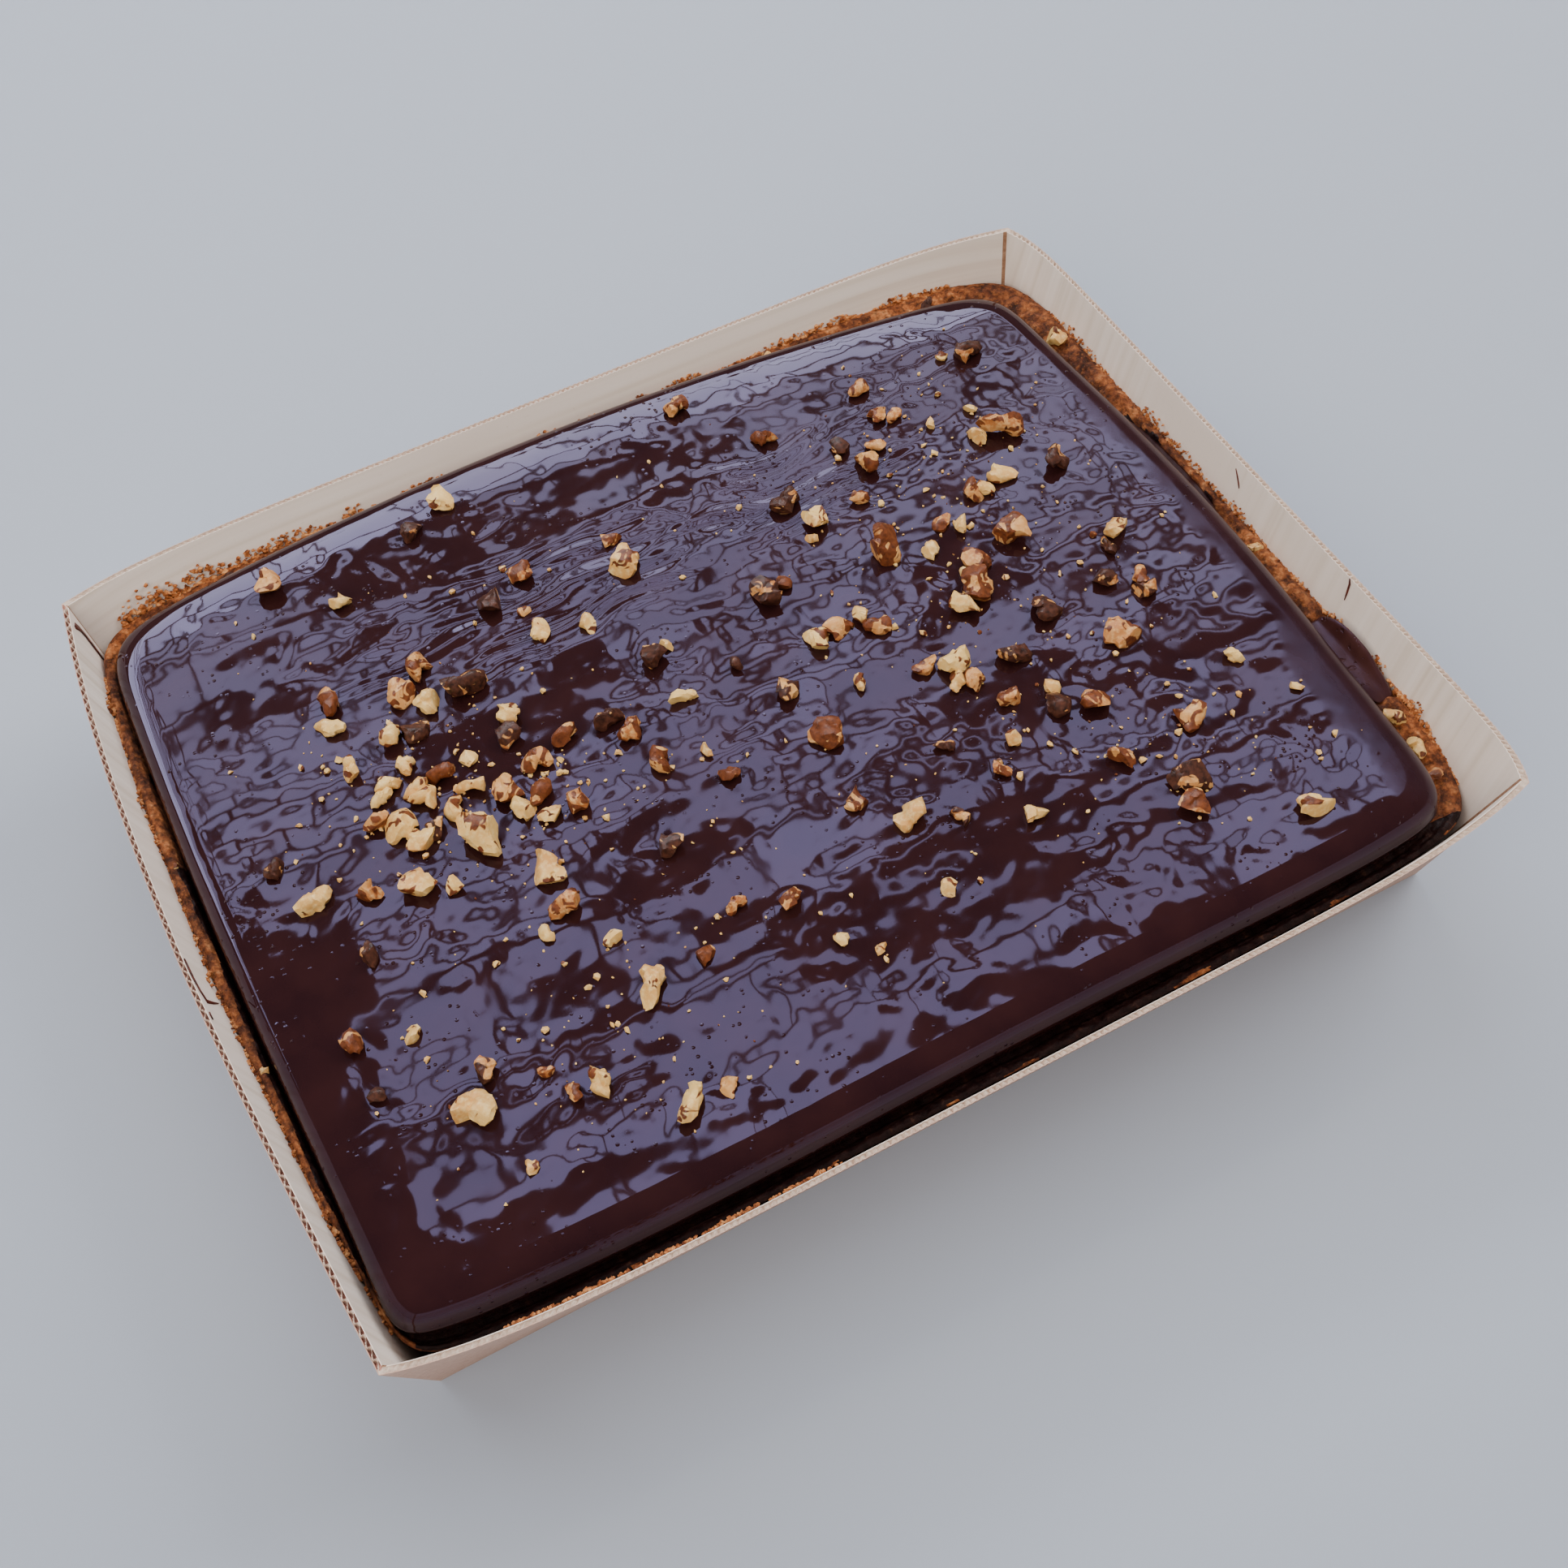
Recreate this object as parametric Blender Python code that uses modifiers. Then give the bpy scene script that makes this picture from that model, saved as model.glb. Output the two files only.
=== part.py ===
"""Sheet cake in its folded corrugated-board tray.

Four solids: the tray, the sponge baked against its walls, the thick
ganache slab with chopped walnuts set in it, and a lump of ganache that ran
over onto the rim. Origin at the middle of the tray's underside, +X along
the long side, +Y to the back, +Z up. Metres.
"""

import math
import random

import bmesh
import bpy
from mathutils import Vector, noise

MM = 0.001

# Tray: a flat base, four flared walls whose rims bow outward
BASE_X = 152.2 * MM
BASE_Y = 113.7 * MM
RIM_X = 161.0 * MM
RIM_Y = 128.6 * MM
RIM_Z = 58.2 * MM
BOARD = 1.5 * MM
BOW = {
    "front": 6.6 * MM,
    "right": 5.6 * MM,
    "back": 10.6 * MM,
    "left": 7.2 * MM,
}
BOW_POWER = {"front": 6.7, "right": 14.0, "back": 6.7, "left": 3.0}
NEAR_LEFT_POWER = 1.35
LONG_STEPS = 26
SHORT_STEPS = 24

# Corner gussets: triangles of board folded against the short walls
GUSSET_LONG = 46 * MM
GUSSET_OUT = 1.5 * MM
GUSSET_SINK = 0.75 * MM

# Gap kept between pieces that touch
GAP = 0.3 * MM

# Points closer than this become one
WELD = 0.03 * MM
FINE_WELD = 0.003 * MM

# Sponge: flat under the slab, with a raised browned rim at the walls
SPONGE_TOP = 36.0 * MM
RIM_RISE = {
    "front": 39.0 * MM,
    "right": 43.0 * MM,
    "back": 43.5 * MM,
    "left": 44.5 * MM,
}

# Ganache slab
SLAB_LEFT = -157.9 * MM
SLAB_RIGHT = 151.8 * MM
SLAB_FRONT = -123.7 * MM
SLAB_BACK = 131.6 * MM
BACK_DROP = 11.5 * MM
BACK_MIDDLE = -15.0 * MM
FOOT_IN = 2.6 * MM
FRONT_DRAW_IN = 2.6 * MM
SLAB_TOP = 52.0 * MM
SHOULDER = 7.0 * MM
SLAB_FACE_IN = 1.5 * MM

# Points along each side of the sponge and slab outlines
DENSE_X = 60
DENSE_Y = 48
CORNER_ROUNDS = 12

# Crumbs of nut shorter than this are left out of the solid
SMALLEST_NUT = 5.2 * MM

# Overflow of ganache lying on the right-hand rim of the sponge
BLOB_AT = (156.5 * MM, -64.0 * MM, 43.4 * MM)
BLOB_HALF = (4.5 * MM, 16.5 * MM, 4.8 * MM)

SIDES = ("front", "right", "back", "left")

# Walnut groups on the slab, in millimetres:
# x, y, spread of the group, number of pieces, typical length of a piece
NUT_GROUPS = (
    # along the back edge
    (-104, 110, 0, 1, 9), (-89, 92, 0, 1, 7), (-61, 108, 0, 1, 11),
    (-48, 114, 0, 1, 11), (32, 115, 0, 1, 8), (48, 89, 0, 1, 8),
    (83, 92, 0, 1, 8), (121, 89, 0, 1, 9), (114, 92, 0, 1, 4),
    # middle of the back half
    (86, 78, 3, 2, 8), (70, 71, 5, 4, 6), (103, 66, 6, 3, 5),
    (42, 60, 0, 1, 9), (114, 55, 0, 1, 11), (105, 57, 0, 1, 6),
    (47, 50, 0, 1, 8), (63, 50, 0, 1, 5), (-38, 75, 0, 1, 7),
    (-51, 69, 0, 1, 9), (-10, 75, 0, 1, 6), (-10, 64, 0, 1, 10),
    (-43, 53, 0, 1, 7), (-29, 50, 0, 1, 7),
    # dense heap left of the middle, and its loose outliers
    (-105, 55, 5, 2, 9), (-82, 51, 8, 5, 9), (-91, 37, 6, 4, 8),
    (-98, 21, 7, 6, 8), (-84, 14, 8, 6, 8), (-98, 5, 6, 4, 8),
    (-71, 2, 7, 5, 8), (-85, -4, 0, 1, 14), (-64, 28, 5, 2, 7),
    (-58, 13, 5, 2, 8), (-56, -7, 0, 1, 8), (-108, 34, 0, 1, 7),
    # left edge
    (-131, -2, 0, 1, 10), (-138, 13, 0, 1, 6), (-111, -8, 7, 2, 8),
    (-124, -23, 0, 1, 8), (-97, -15, 0, 1, 5),
    # centre
    (-36, 11, 4, 2, 8), (-17, 28, 3, 2, 6), (-16, 11, 0, 1, 8),
    (-33, -5, 0, 1, 9), (-19, -14, 5, 2, 5), (1, 14, 0, 1, 5),
    (21, 31, 0, 1, 9), (9, -1, 0, 1, 8), (11, -18, 0, 1, 10),
    (29, 11, 4, 2, 8), (42, 9, 4, 2, 8), (-43, -32, 0, 1, 8),
    # second heap, right of the middle
    (58, 30, 0, 1, 13), (81, 30, 4, 3, 7), (96, 37, 5, 3, 8),
    (120, 35, 0, 1, 9), (70, 22, 0, 1, 6), (93, 17, 0, 1, 11),
    (78, 11, 4, 2, 7), (70, 1, 4, 2, 11), (118, 0, 4, 2, 7),
    (87, -12, 0, 1, 9), (108, -12, 0, 1, 7), (116, -19, 3, 2, 8),
    (53, -19, 6, 5, 8), (72, -23, 0, 1, 9), (61, -34, 0, 1, 7),
    (101, -31, 0, 1, 10), (74, -43, 6, 4, 7),
    # front half
    (7, -44, 0, 1, 8), (38, -40, 0, 1, 6), (17, -56, 0, 1, 10),
    (47, -55, 0, 1, 6), (30, -62, 0, 1, 6), (46, -70, 0, 1, 7),
    (77, -67, 0, 1, 8), (100, -65, 0, 1, 10), (86, -80, 0, 1, 12),
    (85, -88, 0, 1, 8), (111, -104, 0, 1, 10), (15, -78, 0, 1, 5),
    (-9, -86, 0, 1, 4), (-35, -56, 0, 1, 6), (-22, -62, 0, 1, 7),
    (-64, -67, 0, 1, 12), (-49, -66, 0, 1, 6), (-74, -23, 0, 1, 10),
    (-76, -37, 5, 2, 9), (-68, -50, 0, 1, 5), (-123, -50, 0, 1, 5),
    (-138, -46, 0, 1, 7), (-136, -62, 0, 1, 5), (-117, -75, 3, 2, 9),
    (-91, -85, 4, 2, 7), (-111, -97, 0, 1, 4), (-69, -101, 0, 1, 11),
    (-60, -101, 0, 1, 6),
)


def clear_scene():
    """Start from an empty scene."""
    for obj in list(bpy.data.objects):
        bpy.data.objects.remove(obj, do_unlink=True)


def new_collection(name):
    coll = bpy.data.collections.new(name)
    bpy.context.scene.collection.children.link(coll)
    return coll


def new_object(name, bm, coll):
    """Turn a bmesh into a named object in a collection."""
    bmesh.ops.recalc_face_normals(bm, faces=bm.faces)
    mesh = bpy.data.meshes.new(name)
    bm.to_mesh(mesh)
    bm.free()
    obj = bpy.data.objects.new(name, mesh)
    coll.objects.link(obj)
    return obj


def material(name, colour, roughness):
    mat = bpy.data.materials.new(name)
    mat.use_nodes = True
    shader = mat.node_tree.nodes["Principled BSDF"]
    shader.inputs["Base Color"].default_value = (*colour, 1.0)
    shader.inputs["Roughness"].default_value = roughness
    shader.inputs["Metallic"].default_value = 0.0
    return mat


def apply_modifiers(obj, weld=WELD):
    """Replace the object's mesh by its modified mesh, without slivers."""
    graph = bpy.context.evaluated_depsgraph_get()
    done = bpy.data.meshes.new_from_object(obj.evaluated_get(graph))
    obj.modifiers.clear()
    bm = bmesh.new()
    bm.from_mesh(done)
    bmesh.ops.remove_doubles(bm, verts=bm.verts, dist=weld)
    bmesh.ops.dissolve_degenerate(bm, edges=bm.edges, dist=weld)
    bm.to_mesh(done)
    bm.free()
    obj.data = done


def union_with(obj, coll, weld=WELD):
    """Fuse every object of a collection to obj, then remove them."""
    mod = obj.modifiers.new("fuse", "BOOLEAN")
    mod.operation = "UNION"
    mod.operand_type = "COLLECTION"
    mod.collection = coll
    mod.solver = "EXACT"
    apply_modifiers(obj, weld)
    for piece in list(coll.objects):
        bpy.data.objects.remove(piece, do_unlink=True)
    bpy.data.collections.remove(coll)


# Tray walls

def rim_point(side, s):
    """Rim of one wall, s from -1 to 1 along it.

    The board keeps its slant length, so the rim sinks where it bows out.
    """
    near_left = side == "left" and s < 0
    power = NEAR_LEFT_POWER if near_left else BOW_POWER[side]
    bow = BOW[side] * (1.0 - abs(s) ** power)
    if side in ("front", "back"):
        lean = RIM_Y - BASE_Y
        along = s * RIM_X
        out = RIM_Y + bow
    else:
        lean = RIM_X - BASE_X
        along = s * RIM_Y
        out = RIM_X + bow
    slant = math.hypot(lean, RIM_Z)
    height = math.sqrt(slant ** 2 - (lean + bow) ** 2)
    return along, out, height


def wall_point(side, s, v):
    """Outer face of a wall, v from 0 at the base to 1 at the rim."""
    along, out, height = rim_point(side, s)
    if side in ("front", "back"):
        base_along, base_out = s * BASE_X, BASE_Y
    else:
        base_along, base_out = s * BASE_Y, BASE_X
    a = base_along + (along - base_along) * v
    o = base_out + (out - base_out) * v
    z = height * v
    if side == "front":
        return Vector((a, -o, z))
    if side == "back":
        return Vector((a, o, z))
    if side == "left":
        return Vector((-o, a, z))
    return Vector((o, a, z))


def wall_normal(side, s, v):
    """Outward direction of a wall at one place."""
    ds = 0.004
    across = wall_point(side, min(1, s + ds), v)
    across -= wall_point(side, max(-1, s - ds), v)
    rise = wall_point(side, s, 1.0) - wall_point(side, s, 0.0)
    normal = across.cross(rise).normalized()
    outward = {
        "front": Vector((0, -1, 0)),
        "back": Vector((0, 1, 0)),
        "left": Vector((-1, 0, 0)),
        "right": Vector((1, 0, 0)),
    }[side]
    return normal if normal.dot(outward) > 0 else -normal


def side_steps(side):
    return LONG_STEPS if side in ("front", "back") else SHORT_STEPS


def side_values(side, steps):
    """Stations along a side, in walking order, closer at the corners."""
    values = []
    for k in range(steps):
        u = -1.0 + 2.0 * k / steps
        s = math.copysign(1.0 - (1.0 - abs(u)) ** 1.5, u)
        values.append(s if side in ("front", "right") else -s)
    return values


def tray_loop(v):
    points = []
    for side in SIDES:
        for s in side_values(side, side_steps(side)):
            points.append(wall_point(side, s, v))
    return points


def build_tray(coll, mat):
    """Folded board: one skin given its thickness, plus four gussets."""
    bm = bmesh.new()
    foot = [bm.verts.new(p) for p in tray_loop(0.0)]
    rim = [bm.verts.new(p) for p in tray_loop(1.0)]
    count = len(foot)
    cap(bm, list(reversed(foot)))
    for i in range(count):
        j = (i + 1) % count
        bm.faces.new((foot[i], foot[j], rim[j], rim[i]))
    # the open skin faces down and out; the board lies inside it
    mesh = bpy.data.meshes.new("tray")
    bm.to_mesh(mesh)
    bm.free()
    tray = bpy.data.objects.new("tray", mesh)
    coll.objects.link(tray)
    solid = tray.modifiers.new("board", "SOLIDIFY")
    solid.thickness = BOARD
    solid.offset = -1.0
    solid.use_even_offset = True

    folds = new_collection("gussets")
    for side in ("left", "right"):
        for end in (-1, 1):
            gusset(side, end, folds)
    union_with(tray, folds)
    tray.data.materials.clear()
    tray.data.materials.append(mat)
    return tray


def gusset(side, end, coll):
    """Triangle of folded board on the outside of a short wall."""
    reach = GUSSET_LONG / RIM_Y
    walls = sorted(abs(s) for s in side_values(side, SHORT_STEPS))
    walls.reverse()
    stations = [end * 0.993]
    for a, b in zip(walls, walls[1:]):
        between = 0.45 * a + 0.55 * b
        if 1.0 - reach < between < 0.99:
            stations.append(end * between)
    bm = bmesh.new()
    columns = []
    for s in stations:
        low = 0.04 + 0.9 * (0.993 - abs(s)) / reach
        column = []
        for v, out in (
            (low, -GUSSET_SINK),
            (low, GUSSET_OUT),
            (0.985, GUSSET_OUT),
            (0.985, -GUSSET_SINK),
        ):
            place = wall_point(side, s, v)
            place += wall_normal(side, s, v) * out
            column.append(bm.verts.new(place))
        columns.append(column)
    for a, b in zip(columns, columns[1:]):
        for i in range(4):
            j = (i + 1) % 4
            bm.faces.new((a[i], a[j], b[j], b[i]))
    bm.faces.new(columns[0])
    bm.faces.new(list(reversed(columns[-1])))
    return new_object("gusset", bm, coll)


# Outlines shared by the sponge and the slab

def soften(points, corners, reach, rounds):
    """Round the corners of a loop by averaging the points near them."""
    near = []
    for i, p in enumerate(points):
        flat = min(math.hypot(p.x - c[0], p.y - c[1]) for c in corners)
        if flat < reach:
            near.append(i)
    for _ in range(rounds):
        moved = {}
        for i in near:
            a = points[i - 1]
            b = points[(i + 1) % len(points)]
            moved[i] = (a + points[i] * 2 + b) / 4
        for i, p in moved.items():
            points[i] = p
    return points


def dense_stations():
    """Side and station of every point of an outline."""
    stations = []
    for side in SIDES:
        steps = DENSE_X if side in ("front", "back") else DENSE_Y
        for k in range(steps):
            s = -1.0 + 2.0 * k / steps
            if side in ("back", "left"):
                s = -s
            stations.append((side, s))
    return stations


def slab_outline(inset, rounds=CORNER_ROUNDS):
    """Outline of the slab seen from above, moved in by an inset."""
    left = SLAB_LEFT + inset
    right = SLAB_RIGHT - inset
    front = SLAB_FRONT + inset
    half = (right - left) / 2
    mid = (right + left) / 2

    def back_y(x):
        bend = ((x - BACK_MIDDLE) / (140 * MM)) ** 2
        return SLAB_BACK - inset - BACK_DROP * bend

    points = []
    for side, s in dense_stations():
        x = mid + half * s
        if side == "front":
            wave = 0.5 * MM * math.sin(x / (34 * MM) + 0.8)
            wave += FRONT_DRAW_IN * (x / (145 * MM)) ** 6
            points.append(Vector((x, front + wave, 0)))
        elif side == "back":
            points.append(Vector((x, back_y(x), 0)))
        else:
            edge = left if side == "left" else right
            low, high = front, back_y(edge)
            y = low + (high - low) * (s + 1) / 2
            if side == "left":
                belly = -1.3 * MM * math.cos((y - 15 * MM) / (46 * MM))
            else:
                belly = 3.2 * MM * math.cos(y / (46 * MM))
            points.append(Vector((edge + belly, y, 0)))
    corners = (
        (left, front), (right, front),
        (left, back_y(left)), (right, back_y(right)),
    )
    return soften(points, corners, 26 * MM, rounds)


def wall_outline(height, inset):
    """Inner face of the tray at one height per point, moved in."""
    points = []
    for (side, s), z in zip(dense_stations(), height):
        rim_z = rim_point(side, s)[2]
        p = wall_point(side, s, z / rim_z)
        if side in ("front", "back"):
            reach = BASE_X + (RIM_X - BASE_X) * z / rim_z
            p.x *= (reach - inset) / reach
            p.y -= math.copysign(inset, p.y)
        else:
            reach = BASE_Y + (RIM_Y - BASE_Y) * z / rim_z
            p.y *= (reach - inset) / reach
            p.x -= math.copysign(inset, p.x)
        points.append(p)
    corners = [
        (sx * BASE_X, sy * BASE_Y) for sx in (-1, 1) for sy in (-1, 1)
    ]
    corners += [
        (sx * RIM_X, sy * RIM_Y) for sx in (-1, 1) for sy in (-1, 1)
    ]
    return soften(points, corners, 14 * MM, 5)


def crust_heights():
    """Height of the browned rim at the wall, point by point."""
    stations = dense_stations()
    heights = []
    for side, s in stations:
        z = RIM_RISE[side]
        if side == "left" and s < -0.72:
            # sinks towards the near left corner
            z -= 11 * MM * (-0.72 - s) / 0.28
        if side == "front" and s < -0.8:
            z -= 5 * MM * (-0.8 - s) / 0.2
        if side == "right" and s < -0.7:
            z -= 8 * MM * (-0.7 - s) / 0.3
        if side == "front" and s > 0.8:
            z -= 4 * MM * (s - 0.8) / 0.2
        heights.append(z)
    count = len(heights)
    smooth = []
    for i in range(count):
        span = [heights[(i + d) % count] for d in range(-4, 5)]
        smooth.append(sum(span) / len(span))
    return smooth


def moat(h):
    """Sponge height beside the slab, for a rim of height h."""
    return min(SPONGE_TOP, h - 1.0 * MM)


def crumb(p, size, seed):
    """Smooth random number from -1 to 1 that depends on the place."""
    return noise.noise(Vector((p.x / size, p.y / size, seed)))


def cap(bm, loop):
    """Flat face over a loop, poked so that it fans from its middle."""
    face = bm.faces.new(loop)
    bmesh.ops.poke(bm, faces=[face])


def bridge(bm, a, b):
    """Quads between two loops of the same length."""
    count = len(a)
    for i in range(count):
        j = (i + 1) % count
        bm.faces.new((a[i], a[j], b[j], b[i]))


def build_sponge(coll, mat, spare):
    """Loft from the tray's inner walls over the rim to the flat top."""
    heights = crust_heights()
    inset = BOARD + GAP + 0.35 * MM
    count = len(heights)
    wall_low = wall_outline([BOARD + GAP] * count, inset)
    wall_high = wall_outline(heights, inset)
    foot = slab_outline(FOOT_IN - 0.6 * MM)

    def mixed(t, z, rough, seed):
        ring = []
        for low, high, f in zip(wall_low, wall_high, foot):
            h = high.z
            share = min(1.0, (z(h) - low.z) / (h - low.z))
            w = low.lerp(high, share)
            wide = math.hypot(w.x - f.x, w.y - f.y)
            bumpy = rough * min(1.0, wide / (6 * MM)) ** 2
            p = w.lerp(Vector((f.x, f.y, w.z)), t)
            grain = crumb(p, 7 * MM, seed) + crumb(p, 2.6 * MM, seed + 9)
            p.z = z(h) + bumpy * grain
            side_push = bumpy * crumb(p, 5 * MM, seed + 4)
            p = p.lerp(Vector((f.x, f.y, p.z)), side_push / (12 * MM))
            ring.append(p)
        return ring

    rings = [
        wall_low,
        wall_high,
        mixed(0.20, lambda h: h + 0.9 * MM, 0.9 * MM, 1.0),
        mixed(0.54, lambda h: h - 0.9 * MM, 1.0 * MM, 2.0),
        mixed(0.74, lambda h: moat(h) + 0.5 * MM, 0.1 * MM, 4.0),
        [Vector((f.x, f.y, moat(h))) for f, h in zip(foot, heights)],
        [Vector((f.x * 0.93, f.y * 0.93, SPONGE_TOP)) for f in foot],
    ]
    bm = bmesh.new()
    loops = [[bm.verts.new(p) for p in ring] for ring in rings]
    for a, b in zip(loops, loops[1:]):
        bridge(bm, a, b)
    cap(bm, list(reversed(loops[0])))
    cap(bm, loops[-1])
    sponge = new_object("sponge", bm, coll)

    # room for the ganache that ran over the rim
    cutter = blob(spare, 0.35 * MM, "blob_clearance")
    cutter.hide_render = True
    cutter.display_type = "WIRE"
    cut = sponge.modifiers.new("clearance", "BOOLEAN")
    cut.operation = "DIFFERENCE"
    cut.object = cutter
    cut.solver = "EXACT"
    apply_modifiers(sponge)

    sponge.data.materials.clear()
    sponge.data.materials.append(mat)
    return sponge


# Ganache

def ripple(x, y):
    """Height of the slab's wavy top above its mean, in metres."""
    warp = noise.noise(Vector((x / 0.075, y / 0.04, 3.0)))
    drift = noise.noise(Vector((x / 0.14, y / 0.09, 8.0)))
    long_wave = math.sin(y / 0.0042 + 4.2 * warp + 9.0 * x)
    swell = noise.noise(Vector((x / 0.05, y / 0.022, 5.0)))
    return MM * (0.030 * long_wave + 0.10 * swell + 0.4 * drift)


def coons(loop, nx, ny):
    """Grid of points filling a loop of nx, ny, nx, ny steps."""
    front = loop[0:nx + 1]
    right = loop[nx:nx + ny + 1]
    back = list(reversed(loop[nx + ny:2 * nx + ny + 1]))
    left = list(reversed(loop[2 * nx + ny:] + loop[:1]))
    rows = []
    for j in range(ny + 1):
        v = j / ny
        row = []
        for i in range(nx + 1):
            u = i / nx
            p = front[i] * (1 - v) + back[i] * v
            p += left[j] * (1 - u) + right[j] * u
            p -= front[0] * (1 - u) * (1 - v) + front[nx] * u * (1 - v)
            p -= back[0] * (1 - u) * v + back[nx] * u * v
            row.append(p)
        rows.append(row)
    return rows


def every(loop, step):
    return [loop[i].copy() for i in range(0, len(loop), step)]


def puddle(p):
    """How far the foot of the slab runs out on the right, 0 to 1."""
    if p.x < 0.1:
        return 0.0
    a = math.exp(-((p.y - 0.024) / 0.028) ** 4)
    return a


def build_slab(coll):
    """Slab with near-upright faces, rounded shoulders and a wavy top."""
    step = 2
    nx, ny = DENSE_X // step, DENSE_Y // step
    face = every(slab_outline(0.0), step)

    def face_ring(z, out, inset):
        ring = []
        base = every(slab_outline(inset), step)
        for p in base:
            q = p.copy()
            q.x += out * puddle(p)
            q.z = z
            ring.append(q)
        return ring

    inner = face_ring(SPONGE_TOP + GAP, 0.0, FOOT_IN - 0.6 * MM)
    for q in inner:
        q.x *= 0.93
        q.y *= 0.93
    foot = face_ring(SPONGE_TOP + GAP, 2.6 * MM, FOOT_IN + 1.0 * MM)
    for q, h in zip(foot, crust_heights()[::step]):
        low = moat(h)
        q.z = low + 0.3 * (SPONGE_TOP - low) + GAP + 0.1 * MM
    rings = [inner, foot]
    rings.append(face_ring(40.0 * MM, 1.6 * MM, 1.6 * MM))
    for angle in (0, 30, 58):
        a = math.radians(angle)
        inset = SLAB_FACE_IN + SHOULDER * (1 - math.cos(a))
        z = SLAB_TOP - SHOULDER * (1 - math.sin(a)) * 0.8
        rings.append(face_ring(z, 0.0, inset))
    edge = every(slab_outline(SLAB_FACE_IN + SHOULDER), step)
    top = coons(edge, nx, ny)
    for row in top:
        for p in row:
            p.z = SLAB_TOP + ripple(p.x, p.y)

    bm = bmesh.new()
    loops = [[bm.verts.new(p) for p in ring] for ring in rings]
    grid = [[bm.verts.new(p) for p in row] for row in top]
    for a, b in zip(loops, loops[1:]):
        bridge(bm, a, b)
    border = grid[0][:-1]
    border += [row[-1] for row in grid[:-1]]
    border += list(reversed(grid[-1]))[:-1]
    border += [row[0] for row in reversed(grid)][:-1]
    bridge(bm, loops[-1], border)
    for j in range(ny):
        for i in range(nx):
            bm.faces.new((
                grid[j][i], grid[j][i + 1],
                grid[j + 1][i + 1], grid[j + 1][i],
            ))
    cap(bm, list(reversed(loops[0])))
    return new_object("ganache", bm, coll)


def blob(coll, grow, name="overflow"):
    """Rounded lump of ganache that ran over at the right."""
    bm = bmesh.new()
    bmesh.ops.create_uvsphere(bm, u_segments=14, v_segments=8, radius=1.0)
    for v in bm.verts:
        v.co.x = v.co.x * (BLOB_HALF[0] + grow)
        v.co.y = v.co.y * (BLOB_HALF[1] + grow)
        v.co.z = v.co.z * (BLOB_HALF[2] + grow)
        v.co += Vector(BLOB_AT)
    return new_object(name, bm, coll)


def nut(coll, place, size, rng, level):
    """One chopped walnut piece: a faceted lump with uneven sides."""
    bm = bmesh.new()
    bmesh.ops.create_icosphere(bm, subdivisions=level, radius=0.5)
    long_side = rng.uniform(0.95, 1.15)
    wide = rng.uniform(0.55, 0.8)
    tall = rng.uniform(0.5, 0.7)
    turn = rng.uniform(0, math.tau)
    c, s = math.cos(turn), math.sin(turn)
    for v in bm.verts:
        bump = 1.0 + rng.uniform(-0.14, 0.14)
        x = v.co.x * size * long_side * bump
        y = v.co.y * size * wide * bump
        z = v.co.z * size * tall * bump
        v.co = Vector((x * c - y * s, x * s + y * c, z)) + Vector(place)
    return new_object("nut", bm, coll)


def nut_places():
    """Position and length of every walnut piece on the slab."""
    rng = random.Random(7)
    places = []
    for x, y, spread, count, size in NUT_GROUPS:
        turn = rng.uniform(0, math.tau)
        for k in range(count):
            r = spread * math.sqrt((k + 0.5) / count)
            a = turn + 2.4 * k
            nx = (x + r * math.cos(a)) * MM
            ny = (y + r * math.sin(a)) * MM
            length = size * rng.uniform(0.85, 1.15) * MM
            places.append((nx, ny, length))
    return places


def build_ganache(coll, mat):
    slab = build_slab(coll)
    extras = new_collection("walnuts")
    rng = random.Random(19)
    for x, y, length in nut_places():
        if length < SMALLEST_NUT:
            continue
        z = SLAB_TOP + ripple(x, y) + 0.14 * length
        nut(extras, (x, y, z), length, rng, 1)
    union_with(slab, extras, FINE_WELD)
    slab.data.materials.clear()
    slab.data.materials.append(mat)
    return slab


def build_overflow(coll, mat):
    lump = blob(coll, 0.0)
    lump.data.materials.append(mat)
    return lump


def main():
    clear_scene()
    parts = new_collection("sheet_cake")
    spare = new_collection("cutters")
    board = material("tray_board", (0.72, 0.62, 0.50), 0.85)
    crumb_mat = material("sponge_crumb", (0.30, 0.13, 0.04), 0.9)
    dark = material("dark_ganache", (0.035, 0.014, 0.012), 0.18)
    build_tray(parts, board)
    build_sponge(parts, crumb_mat, spare)
    build_ganache(parts, dark)
    spilt = material("spilt_ganache", (0.045, 0.018, 0.015), 0.25)
    build_overflow(parts, spilt)


main()
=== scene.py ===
"""Looks of the sheet cake: board tray, browned crumb, glossy slab, walnuts."""

import math
import random

import bmesh
import bpy
from mathutils import Matrix, Vector, noise


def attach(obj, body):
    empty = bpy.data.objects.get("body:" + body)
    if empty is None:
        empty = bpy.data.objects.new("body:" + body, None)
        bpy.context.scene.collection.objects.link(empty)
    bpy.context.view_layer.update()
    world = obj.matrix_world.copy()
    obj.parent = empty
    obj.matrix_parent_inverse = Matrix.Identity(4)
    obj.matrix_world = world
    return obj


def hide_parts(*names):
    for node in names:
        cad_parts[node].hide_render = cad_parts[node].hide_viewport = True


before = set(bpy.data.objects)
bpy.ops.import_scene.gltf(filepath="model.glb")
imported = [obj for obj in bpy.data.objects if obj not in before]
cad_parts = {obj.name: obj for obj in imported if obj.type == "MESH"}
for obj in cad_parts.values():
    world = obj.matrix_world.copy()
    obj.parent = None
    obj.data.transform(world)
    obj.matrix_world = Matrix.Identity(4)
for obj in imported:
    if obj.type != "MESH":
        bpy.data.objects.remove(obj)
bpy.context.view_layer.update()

# noise_vector starts from the clock unless it has a seed
noise.seed_set(7)

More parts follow.
